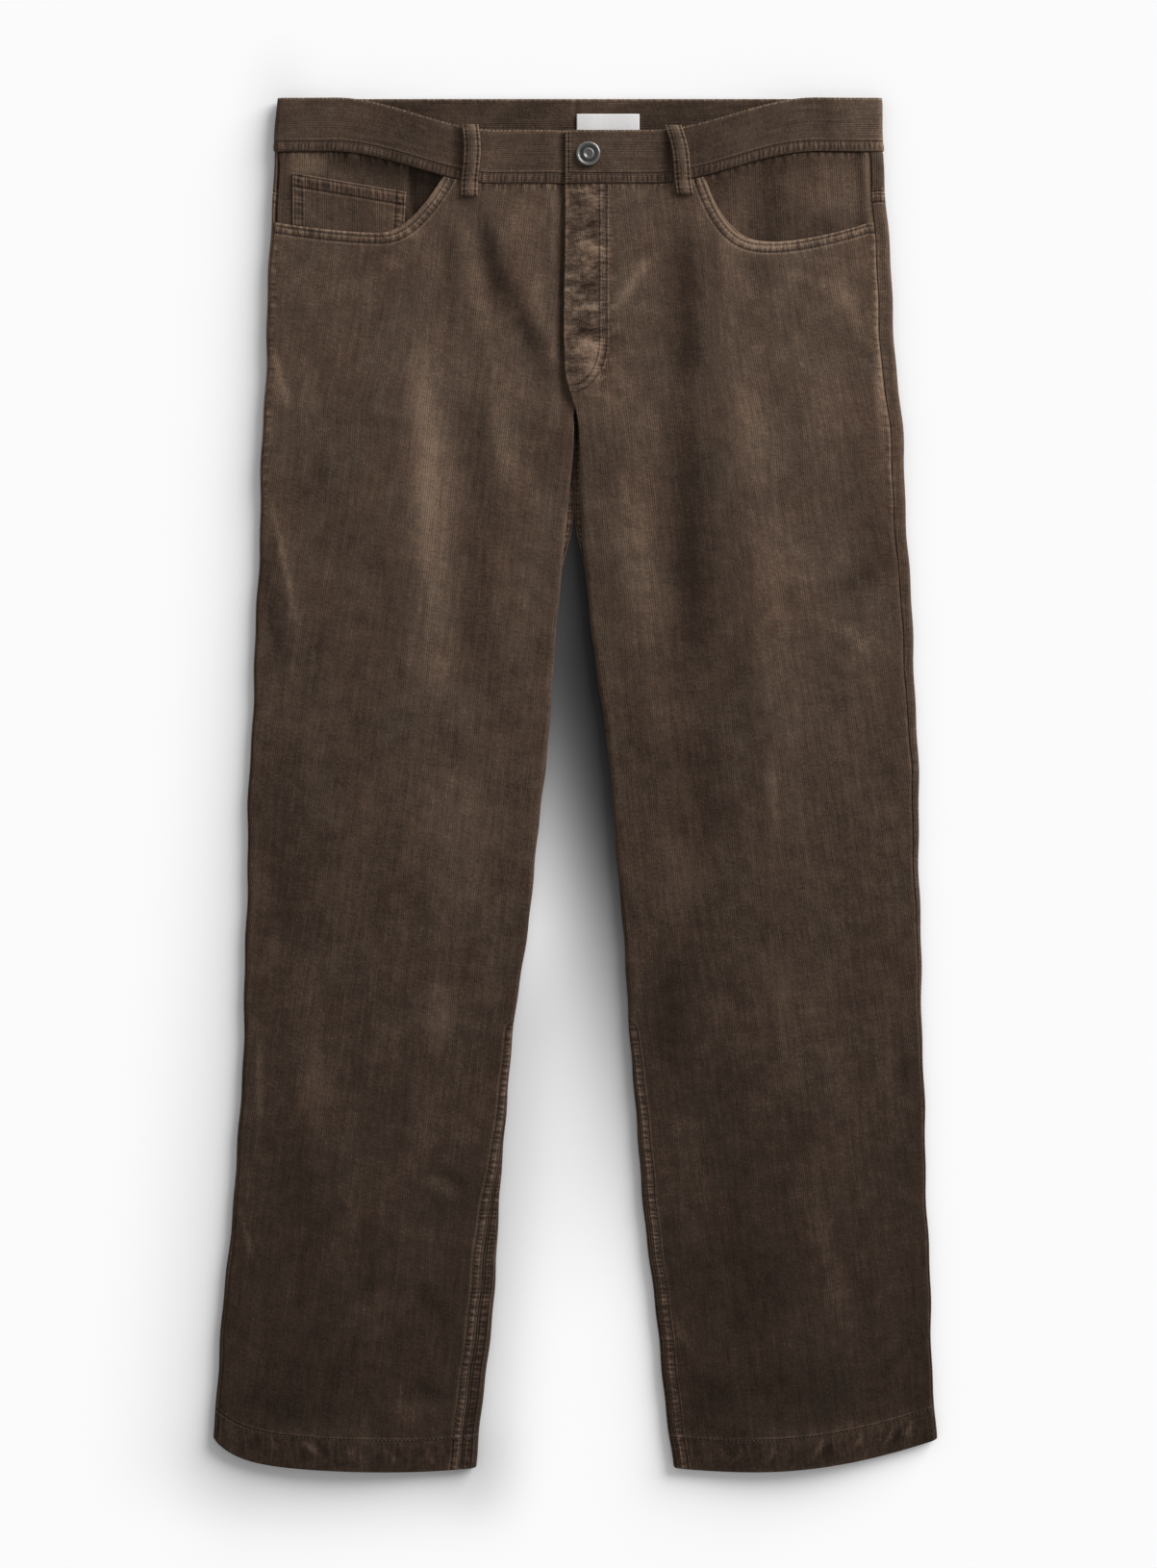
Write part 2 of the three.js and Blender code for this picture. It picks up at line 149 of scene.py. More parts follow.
FLY_FOLDS = [
    (-2, 462, 30, 452, 1.2, 5),
    (-4, 436, 28, 431, -0.9, 4),
    (2, 424, 27, 409, 1.5, 5),
    (-2, 390, 28, 384, -0.9, 5),
    (-2, 374, 24, 367, 1.3, 4),
    (-1, 353, 26, 350, -1.0, 4),
    (0, 342, 23, 337, 1.7, 5),
    (3, 327, 24, 319, 1.4, 4),
    (6, 312, 26, 306, -0.8, 4),
]
# Painted light and shade, with some of the nap's own lighter and darker lie: strokes lighter, or darker where
# negative, along fold ridges and troughs, beside the fly and the belt loops, at the pocket mouths and on the
# hems' creases: x1, y1, x2, y2, how much, how wide.
PAINTED_LIGHT_AND_NAP = [
    (-120, 385, -112, 130, 0.30, 14),
    (-116, 250, -102, 20, 0.16, 18),
    (-100, 40, -88, -110, 0.10, 26),
    (-79, 300, -74, 30, -0.16, 16),
    # Painted shadow beside the front right belt loop.
    (-97, 452, -93, 335, -0.14, 6),
    (-84, 452, -60, 300, 0.16, 8),
    (-70, 345, -40, 205, 0.20, 12),
    (-76, 468, -52, 345, -0.24, 7),
    (-86, 454, 2, 280, -0.32, 9),
    (-54, 462, -38, 415, 0.10, 9),
    (-200, 310, -190, 180, -0.07, 18),
    (-228, 90, -226, -150, -0.11, 16),
    (-42, 436, -7, 285, 0.17, 8),
    (-241, 245, -212, 105, 0.26, 3),
    (-246, 215, -226, 60, -0.16, 8),
    (-222, 358, -172, 205, 0.10, 7),
    (-156, 412, -130, 402, 0.16, 4),
    (-214, -110, -196, -345, 0.16, 12),
    (-196, -330, -160, -430, 0.08, 18),
    (-105, -128, -104, -226, 0.14, 10),
    (-246, -185, -246, -270, 0.24, 2.5),
    (-264, -320, -248, -380, 0.22, 2.5),
    (-124, -302, -88, -322, 0.16, 5),
    (-110, -294, -78, -316, -0.12, 5),
    (-130, -380, -80, -436, -0.12, 8),
    (-168, -372, -150, -400, -0.10, 16),
    (-150, -474, -112, -500, 0.14, 8),
    (-130, -466, -96, -478, -0.12, 6),
    (-262, -470, -190, -500, -0.06, 14),
    (84, 460, 90, 280, -0.32, 13),
    (87, 350, 92, 40, -0.24, 15),
    (96, 60, 108, -60, -0.08, 20),
    (44, 360, 54, 20, 0.17, 18),
    (22, 358, 64, 418, 0.30, 5),
    (52, 306, 68, 258, 0.16, 4),
    (34, 470, 66, 458, 0.10, 6),
    (132, 340, 146, 215, 0.17, 14),
    (144, 262, 154, 30, 0.12, 15),
    (222, 305, 232, 150, -0.11, 15),
    (152, 40, 158, -60, 0.20, 6),
    (106, 440, 144, 366, 0.14, 7),
    (122, 412, 164, 380, -0.14, 9),
    (166, 402, 190, 390, 0.14, 5),
    (190, 410, 238, 340, 0.17, 10),
    (190, 372, 206, 330, -0.10, 12),
    (238, 436, 240, 240, 0.34, 4),
    (252, 268, 258, 190, 0.20, 4),
    (244, 178, 200, 146, -0.14, 9),
    (206, 132, 234, 94, 0.16, 6),
    (160, 186, 190, 178, 0.10, 3),
    (158, 168, 186, 160, 0.10, 3),
    (70, -30, 98, -100, 0.12, 20),
    (66, -85, 84, -270, -0.12, 17),
    (160, -100, 172, -275, 0.14, 12),
    (132, -150, 134, -230, 0.08, 22),
    (170, -265, 220, -450, 0.16, 10),
    (142, -360, 150, -430, -0.08, 16),
    (90, -462, 132, -482, -0.12, 10),
    (76, -410, 98, -455, 0.12, 3),
    (244, -195, 244, -245, 0.12, 6),
    (258, -200, 258, -250, -0.10, 8),
    (66, -300, 74, -304, 0.14, 4),
    (-101, 474, -112, 448, 0.26, 3.5),
    # Painted shadow of the fly's edge on the right front.
    (-12, 474, -12, 288, -0.22, 4),
    (-238, 352, -221, 288, 0.22, 3),
    (-2, 350, 24, 330, 0.26, 10),
    (6, 330, 26, 308, 0.18, 8),
    (-152, 427, -112, 431, 0.22, 4),
    (103, 476, 112, 452, 0.30, 3),
    (-200, 396, -140, 380, 0.09, 12),
    (112, 424, 174, 417, 0.34, 4),
    # Painted highlights and shade on the hems and their small creases.
    (-262, -500, -120, -514, 0.10, 7),
    (-238, -506, -228, -524, 0.26, 1.8),
    (-214, -508, -196, -526, 0.30, 1.8),
    (-178, -512, -170, -530, 0.22, 1.6),
    (-150, -514, -136, -532, 0.24, 1.8),
    (-116, -514, -110, -532, 0.18, 1.6),
    (-204, -508, -188, -526, -0.22, 2.2),
    (-142, -514, -128, -532, -0.20, 2.2),
    (120, -514, 280, -494, 0.14, 8),
    (132, -516, 122, -532, 0.24, 1.6),
    (158, -514, 150, -530, 0.26, 1.8),
    (196, -508, 184, -528, 0.34, 1.8),
    (204, -508, 192, -528, -0.22, 2.0),
    (226, -504, 214, -524, 0.26, 1.8),
    (252, -498, 240, -518, 0.32, 1.8),
    (268, -492, 258, -510, 0.24, 1.6),
    (258, -498, 247, -516, -0.22, 2.0),
    # Painted highlights and shade on the fly's folds, following FLY_FOLDS.
    (-2, 462, 30, 452, 0.18, 5),
    (-4, 436, 28, 431, -0.20, 4),
    (2, 424, 27, 409, 0.46, 6),
    (-2, 390, 28, 384, -0.20, 6),
    (-2, 374, 24, 367, 0.30, 4),
    (-1, 353, 26, 350, -0.26, 4),
    (0, 342, 23, 337, 0.62, 5),
    (3, 327, 24, 319, 0.54, 4),
    (12, 334, 30, 352, 0.30, 3),
    (18, 330, 27, 314, -0.26, 2.5),
    (10, 306, 32, 300, 0.16, 4),
]
YOKE = {"side": 463, "centre": 424, "half": 235}


def smooth(t):
    t = np.clip(t, 0, 1)
    return t * t * (3 - 2 * t)


def mix(a, b, t):
    return a + (b - a) * t


def bell(t):
    return np.exp(-(t**2))


def along(table, column, y):
    """A smooth curve through one column of a table, read at y."""
    stops = np.array(table["y"][::-1], float)
    values = np.array(table[column][::-1], float)
    last = len(stops) - 1
    y = np.clip(y, stops[0], stops[-1])
    i = np.clip(np.searchsorted(stops, y, side="right") - 1, 0, last - 1)
    before, after = np.maximum(i - 1, 0), np.minimum(i + 2, last)
    span = stops[i + 1] - stops[i]
    t = (y - stops[i]) / span
    start = (values[i + 1] - values[before]) / (stops[i + 1] - stops[before]) * span
    end = (values[after] - values[i]) / (stops[after] - stops[i]) * span
    return (
        values[i] * (2 * t**3 - 3 * t**2 + 1)
        + start * (t**3 - 2 * t**2 + t)
        + values[i + 1] * (3 * t**2 - 2 * t**3)
        + end * (t**3 - t**2)
    )


def seat_lift(y):
    """How far the patch pockets under the seat hold the cloth up."""
    return PATCH_LIFT * smooth((y - CROTCH_BACK_Y + 3) / 45)


def front_parted(y):
    """From 0 above the fork of the fronts to 1 where the legs are apart."""
    return smooth((CROTCH_FRONT_Y + 10 - y) / 70)


def back_parted(y):
    return smooth((CROTCH_BACK_Y + 12 - y) / 50)


def edges_of(side, y, face):
    """The middle and the half width of a front or a back at y, with slightly wavy side edges."""
    outer = along(OUTLINE[side], "outer", y)
    inner = along(OUTLINE[side], "inner", y)
    if face == "back":
        inner = mix(SIGN[side] * SEAM_GAP / 2, inner, back_parted(y))
    elif side == "right":
        inner = inner + UNDERLAP * smooth((y - CROTCH_FRONT_Y - 3) / 55)
    outer = outer + 0.6 * np.sin(y / 21 + SIGN[side]) + 0.35 * np.sin(y / 8.3)
    inner = inner + (0.6 * np.sin(y / 24) + 0.3 * np.sin(y / 7.1)) * smooth((170 - y) / 40)
    return (outer + inner) / 2, np.abs(outer - inner) / 2


def relief(x, y, table):
    """The sum of a table's strokes, which fade out at both ends and to both sides."""
    total = np.zeros_like(x)
    for x1, y1, x2, y2, high, wide in table:
        length = math.hypot(x2 - x1, y2 - y1)
        t = ((x - x1) * (x2 - x1) + (y - y1) * (y2 - y1)) / length**2
        off = ((x - x1) * (y2 - y1) - (y - y1) * (x2 - x1)) / length
        total += high * bell(off / wide) * smooth(2.5 * t) * smooth(2.5 * (1 - t))
    return total


def tone_with_painted_falloff(y):
    """How light the cloth lies over the garment, from 0 to 1, darker towards the hems: a painted fall-off of
    the light.
    """
    heights = [-536, -475, -300, -120, 0, 237, 387, 536]
    tones = [0.15, 0.13, 0.24, 0.33, 0.39, 0.50, 0.54, 0.53]
    return np.interp(y, heights, tones)


# The cloth's lightness, with the painted fall-off and the painted light and shade of the strokes.
def tone_with_painted_light(x, y):
    return tone_with_painted_falloff(y) + relief(x, y, PAINTED_LIGHT_AND_NAP)


def sink(side, x, y, deep):
    """How far the cloth of the right side drops to pass under the fly and the band's end."""
    if side == "left":
        return 0 * x
    return deep * smooth((x - FLY_EDGE_X + 10) / 8) * smooth((y - CROTCH_FRONT_Y + 16) / 45)


def swell(inward, half, high):
    """The height of the front over the surface: a round side edge, then the loft."""
    edge = 2 * EDGE_RADIUS
    short = np.clip(EDGE_RADIUS - inward, 0, None)
    rim = EDGE_RADIUS + np.sqrt(np.clip(EDGE_RADIUS**2 - short**2, 0, None))
    t = np.clip((inward - EDGE_RADIUS) / (half - EDGE_RADIUS), 0, 1)
    return np.where(inward < EDGE_RADIUS, rim, edge + (high - edge) * np.sin(np.pi / 2 * t) ** 2)


def surface(side, q, y, deep=PANEL_SINK):
    """The loop of cloth: over the front from the inner edge (0) to the outer (1), back under (2)."""
    q = np.asarray(q, float)
    y = np.broadcast_to(np.asarray(y, float), q.shape)
    under = (q > 1) & (q <= 2)
    over = np.where(q > 2, q - 2, q)
    middle, half = edges_of(side, y, "front")
    across = np.cos(np.pi * over)
    x = middle - SIGN[side] * half * across
    high = along(LOFT, "high", y)
    inward = half * (1 - np.abs(across))
    rolled = swell(inward, half, high)
    z = np.where(across > 0, mix(high, rolled, front_parted(y)), rolled)
    calm = smooth(inward / 12) * np.where(across > 0, 1, smooth(inward / 25))
    folds = relief(x, y, BROAD_FOLDS) * calm + relief(x, y, SMALL_FOLDS)
    if side == "left":
        folds = folds + relief(x, y, FLY_FOLDS)
    top = np.stack([x, y, seat_lift(y) + z + folds - sink(side, x, y, deep)], -1)
    middle, half = edges_of(side, y, "back")
    across = np.cos(np.pi * (q - 1))
    x = middle + SIGN[side] * half * across
    inward = half * (1 - np.abs(across))
    curl = np.where(across > 0, 1, back_parted(y))
    short = np.clip(EDGE_RADIUS - inward, 0, None)
    roll = EDGE_RADIUS - np.sqrt(np.clip(EDGE_RADIUS**2 - short**2, 0, None))
    bottom = np.stack([x, y, seat_lift(y) + curl * roll], -1)
    return np.where(under[..., None], bottom, top)


def outward(side, q, y, deep=PANEL_SINK):
    """The way out of the cloth."""
    step = 1e-3
    across = surface(side, q + step, y, deep) - surface(side, np.maximum(0, q - step), y, deep)
    down = surface(side, q, y + 1, deep) - surface(side, q, y - 1, deep)
    normal = np.cross(across, down) * SIGN[side]
    return normal / np.maximum(np.linalg.norm(normal, axis=-1, keepdims=True), 1e-9)


def turned(side, y, arc):
    """The share of the loop that a length of cloth takes from a side edge."""
    quarter = EDGE_RADIUS * math.pi / 2
    bent = EDGE_RADIUS * (1 - np.cos(np.minimum(arc, quarter) / EDGE_RADIUS))
    return np.arccos(1 - (bent + np.maximum(0, arc - quarter)) / edges_of(side, y, "back")[1]) / np.pi


def front_start(side, y):
    return turned(side, y, along(SEAMS[side], "inseam", y) + SEAM_GAP / 2) * front_parted(y)


def front_end(side, y):
    return 1 - turned(side, y, along(SEAMS[side], "outseam", y) + SEAM_GAP / 2)


def back_start(side, y):
    return 1 - turned(side, y, along(SEAMS[side], "outseam", y) - SEAM_GAP / 2)


def back_end(side, y):
    inseam = along(SEAMS[side], "inseam", y) - SEAM_GAP / 2
    inside = 2 + turned(side, y, np.maximum(inseam, 0))
    return np.where(inseam > 0, inside, 2 - turned(side, y, np.maximum(-inseam, 0)))


def loop_place(side, face, x, y):
    """Where on the loop of cloth a point lies that is seen from above or below."""
    middle, half = edges_of(side, y, face)
    inner = np.clip(-SIGN[side] * (x - middle) / half, -1, 1)
    q = np.arccos(inner) / np.pi
    return q if face == "front" else 2 - q


def band_top(x, face):
    return WAIST_Y - (FRONT_DIP * smooth((190 - np.abs(x)) / 130) if face == "front" else 0 * x)


def band_low(x, face):
    return band_top(x, face) - BAND_HIGH


def yoke_line(x):
    return mix(YOKE["centre"], YOKE["side"], np.clip(np.abs(x) / YOKE["half"], 0, 1))


def hem_line(x):
    """Lowest at one place in each leg, and drawn up to both sides of it."""
    low, outer, inner = 135, 148, 58
    t = np.maximum(0, np.abs(x) - low) / outer
    outside = np.where(x < 0, 9 * t**2 + 15 * t**8, 25 * t**2)
    return HEM_Y + outside + 3 * (np.maximum(0, low - np.abs(x)) / inner) ** 2


def mouth_line(side, x):
    m = MOUTHS[side]
    to_side = np.clip((x - m["low"][0]) / (m["side"][0] - m["low"][0]), 0, 1)
    to_front = np.clip((x - m["low"][0]) / (m["front"][0] - m["low"][0]), 0, None)
    return m["low"][1] + m["side"][1] * to_side**1.5 + m["front"][1] * to_front ** m["turn"]


# ---------------------------------------------------------------------------------------------
# Sheets of cloth
# ---------------------------------------------------------------------------------------------
NEAR_EDGE = [0, 0.12, 0.45, 1.0, 1.8, 2.8, 4.0, 5.5, 7.5, 10, 13]


def stations(length, step):
    """Shares of a length, closer together near both ends."""
    head = [d for d in NEAR_EDGE if d < length / 2]
    tail = [length - d for d in reversed(head)]
    count = max(2, round((tail[0] - head[-1]) / step) + 1)
    middle = np.linspace(head[-1], tail[0], count)[1:-1]
    return np.concatenate([head, middle, tail]) / length


def eased(shares):
    """Shares of the loop's angle that give these shares of its width."""
    return np.arccos(1 - 2 * np.clip(shares, 0, 1)) / np.pi


def run_lengths(points, axis):
    """Lengths of cloth along a grid's rows or columns, from each of the two ends."""
    steps = np.linalg.norm(np.diff(points, axis=axis), axis=-1)
    start = np.zeros_like(points[..., 0].take([0], axis=axis))
    near = np.concatenate([start, np.cumsum(steps, axis=axis)], axis=axis)
    return near, near.take([-1], axis=axis) - near


def near_edges(points):
    """Lengths of cloth from the first and last column, and from the first and last row."""
    return (*run_lengths(points, 1), *run_lengths(points, 0))


def round_edges(points, normals, thick, distances):
    """Turns the edges of a wall into soft folds, in place."""
    radius = thick / 2
    near = np.minimum.reduce([np.broadcast_to(d, thick.shape) for d in distances])
    short = np.clip(1 - near / radius, 0, 1)
    drop = radius * (1 - np.sqrt(np.clip(1 - short**2, 0, 1)))
    points -= normals * drop[..., None]
    thick -= 2 * drop * 0.97


def piece_of(name, bm):
    """An object made of the shapes in bm, in the scene."""
    mesh = bpy.data.meshes.new(name)
    bm.to_mesh(mesh)
    bm.free()
    piece = bpy.data.objects.new(name, mesh)
    bpy.context.collection.objects.link(piece)
    return piece


def grid_shell(name, points, normals, thick, grain, values=None, tone=0.5):
    """A closed wall of cloth from grids of its outer points, normals and thickness."""
    rows, columns = points.shape[:2]
    bm = bmesh.new()
    bmesh.ops.create_grid(bm, x_segments=columns - 1, y_segments=rows - 1, size=0.5)
    if len(bm.verts) != rows * columns:
        raise RuntimeError(f"{name}: the grid has {len(bm.verts)} points, not {rows * columns}")
    made = bmesh.ops.extrude_face_region(bm, geom=bm.faces[:], use_keep_orig=True)
    lower = [v for v in made["geom"] if isinstance(v, bmesh.types.BMVert)]
    bmesh.ops.translate(bm, verts=lower, vec=(0, 0, -1))
    bmesh.ops.recalc_face_normals(bm, faces=bm.faces[:])
    piece = piece_of(name, bm)
    mesh = piece.data
    flat = np.empty(len(mesh.vertices) * 3)
    mesh.vertices.foreach_get("co", flat)
    flat = flat.reshape(-1, 3)
    low, high = flat.min(0), flat.max(0)
    i = np.rint((flat[:, 0] - low[0]) / (high[0] - low[0]) * (columns - 1)).astype(int)
    j = np.rint((flat[:, 1] - low[1]) / (high[1] - low[1]) * (rows - 1)).astype(int)
    inside = flat[:, 2] < -0.5
    placed = points[j, i] - normals[j, i] * (thick[j, i] * inside)[:, None]
    mesh.vertices.foreach_set("co", (placed * 0.001).ravel())
    mesh.update()
    facing = np.empty(len(mesh.polygons) * 3)
    mesh.polygons.foreach_get("normal", facing)
    firsts = np.empty(len(mesh.polygons), int)
    mesh.polygons.foreach_get("loop_start", firsts)
    corners = np.empty(len(mesh.loops), int)
    mesh.loops.foreach_get("vertex_index", corners)
    at = corners[firsts]
    agree = (facing.reshape(-1, 3) * normals[j[at], i[at]]).sum(1) * np.where(inside[at], -1, 1)
    if agree.sum() < 0:
        mesh.flip_normals()
        mesh.loops.foreach_get("vertex_index", corners)
    uv = mesh.uv_layers.new(name="grain")
    uv.data.foreach_set("uv", (grain[j, i][corners] * 0.001).ravel())
    lengths = {key: value * 0.001 for key, value in (values or {}).items()}
    for key, value in {**lengths, "tone": tone}.items():
        layer = mesh.attributes.new(key, "FLOAT", "POINT")
        layer.data.foreach_set("value", np.broadcast_to(value, thick.shape)[j, i].astype(np.float32))
    mesh.shade_smooth()
    return piece


def distance_to(line, x, y):
    """Distance from points to a line seen from above, and how far along it the nearest point is."""
    best = np.full(x.shape, np.inf)
    run = np.zeros(x.shape)
    done = 0.0
    for (ax, ay), (bx, by) in zip(line[:-1], line[1:]):
        length = math.hypot(bx - ax, by - ay)
        t = np.clip(((x - ax) * (bx - ax) + (y - ay) * (by - ay)) / length**2, 0, 1)
        far = np.hypot(x - ax - t * (bx - ax), y - ay - t * (by - ay))
        closer = far < best
        best = np.where(closer, far, best)
        run = np.where(closer, done + t * length, run)
        done += length
    return best, run


def leg_thick(near_low):
    return np.where(near_low < HEM_DEEP, HEM_THICK, CLOTH_THICK)


def grain_of(side, points, arcs, lean=None):
    """Cloth coordinates in millimetres: across the ribs and along them."""
    if lean is None:
        lean = bpy.context.scene.trousers_sizes.rib_lean
    middle = points.shape[1] // 2
    across = (arcs - arcs[:, middle : middle + 1]) * np.sign(points[0, -1, 0] - points[0, 0, 0])
    across = across + points[:, middle : middle + 1, 0]
    tilt = lean * SIGN[side]
    cosine, sine = math.cos(tilt), math.sin(tilt)
    y = points[..., 1]
    return np.stack([across * cosine + y * sine, y * cosine - across * sine], -1)


def tube_grid(side, columns, rows, seams, top, low, depth=0):
    """A grid of points between two seams of the loop and two edges."""
    u, v = np.meshgrid(columns, rows)

    def place(y):
        return mix(seams[0](side, y), seams[1](side, y), u)

    def across(y):
        level = np.full(u.shape, y, float)
        return surface(side, place(level), level)[..., 0]

    upper = across(WAIST_Y - BAND_HIGH)
    lower = across(HEM_Y) if low is hem_line else upper
    y = mix(low(lower), top(upper), v)
    q = place(y)
    points = surface(side, q, y)
    normals = outward(side, q, y)
    sunk = depth(points[..., 0], y) if callable(depth) else depth
    points = points - normals * np.broadcast_to(sunk, y.shape)[..., None]
    return points, normals


def finish_piece(piece, node, material):
    piece.data.materials.append(material)
    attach(piece, "root")
    if node:
        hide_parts(node)


def cloth_piece(name, wall, grain, material, values=None, tone=0.5, slot="corduroy", **sheet):
    """Builds the sheet of cloth that takes the place of the CAD piece of the same name."""
    piece = grid_shell(name, *wall, grain, values, tone)
    finish_piece(piece, name, material)


# ---------------------------------------------------------------------------------------------
# Shaders
# ---------------------------------------------------------------------------------------------
class Value:
    """One value in a shader, with Python's operators for Math nodes."""

    def __init__(self, shader, socket):
        self.shader = shader
        self.socket = socket

    def __add__(self, other):
        return self.shader.math("ADD", self, other)

    __radd__ = __add__

    def __mul__(self, other):
        return self.shader.math("MULTIPLY", self, other)

    __rmul__ = __mul__

    def __sub__(self, other):
        return self.shader.math("SUBTRACT", self, other)

    def __rsub__(self, other):
        return self.shader.math("SUBTRACT", other, self)

    def __truediv__(self, other):
        return self.shader.math("DIVIDE", self, other)

    def __rtruediv__(self, other):
        return self.shader.math("DIVIDE", other, self)

    def __pow__(self, other):
        return self.shader.math("POWER", self, other)

    def __rpow__(self, other):
        return self.shader.math("POWER", other, self)

    def __neg__(self):
        return self.shader.math("MULTIPLY", self, -1)


class Shader:
    """One material and its nodes."""

    def __init__(self, name):
        self.material = bpy.data.materials.new(name)
        self.material.use_nodes = True
        self.tree = self.material.node_tree
        self.surface = self.tree.nodes["Principled BSDF"]

    def feed(self, socket, value):
        if isinstance(value, Value):
            self.tree.links.new(value.socket, socket)
        else:
            socket.default_value = value

    def complete(self, sockets):
        """Sets the surface's own sockets and gives the finished material."""
        for key, value in sockets.items():
            self.feed(self.surface.inputs[key], value)
        return self.material

    def node(self, kind, settings=None, sockets=None, output=0):
        made = self.tree.nodes.new("ShaderNode" + kind)
        for key, value in (settings or {}).items():
            if key == "stops":
                ramp = made.color_ramp.elements
                while len(ramp) < len(value):
                    ramp.new(0.5)
                for stop, (place, colour) in zip(ramp, value):
                    stop.position = place
                    stop.color = colour
            else:
                setattr(made, key, value)
        for key, value in (sockets or {}).items():
            self.feed(made.inputs[key], value)
        return Value(self, made.outputs[output])

    def math(self, operation, first, second=0.0):
        return self.node("Math", {"operation": operation}, {0: first, 1: second})

    def attribute(self, name):
        return self.node("Attribute", {"attribute_name": name}, output="Fac")

    def noise(self, vector, scale, detail=2.0, rough=0.5):
        sockets = {"Vector": vector, "Scale": scale, "Detail": detail, "Roughness": rough}
        return self.node("TexNoise", {}, sockets)

    def vector(self, x, y, z=0.0):
        return self.node("CombineXYZ", {}, {"X": x, "Y": y, "Z": z})

    def parts(self, vector):
        split = self.node("SeparateXYZ", {}, {"Vector": vector})
        return [Value(self, output) for output in split.socket.node.outputs]

    def blend(self, factor, first, second):
        settings = {"data_type": "RGBA", "clamp_factor": True}
        return self.node("Mix", settings, {0: factor, 6: first, 7: second}, output=2)

    def bell(self, value, centre, width):
        off = (value - centre) * (1 / width)
        return self.math("EXPONENT", -(off * off))

    def clamp(self, value):
        return self.node("Clamp", {}, {"Value": value})

    def bump(self, height):
        return self.node("Bump", {}, {"Strength": 1.0, "Distance": 1.0, "Height": height})


def rgba(colour):
    return (*colour, 1.0)


# Patterns in the nap: how fine across the ribs and along them, which slice of the noise, its detail
# and roughness, and how much it changes the light and the height of the cloth in metres.
NAP_PATTERNS = [
    (1400, 520, 0.0, 2.0, 0.6, 0.40, 0.00012),
    (330, 480, 0.0, 3.0, 0.72, 0.52, 0.00034),
    (240, 16, 0.0, 2.0, 0.5, 0.22, 0.0),
    (620, 34, 7.0, 1.0, 0.5, 0.26, 0.0),
    (26, 17, 2.0, 4.0, 0.6, 0.42, 0.0016),
    (70, 90, 5.0, 3.0, 0.6, 0.34, 0.0008),
]


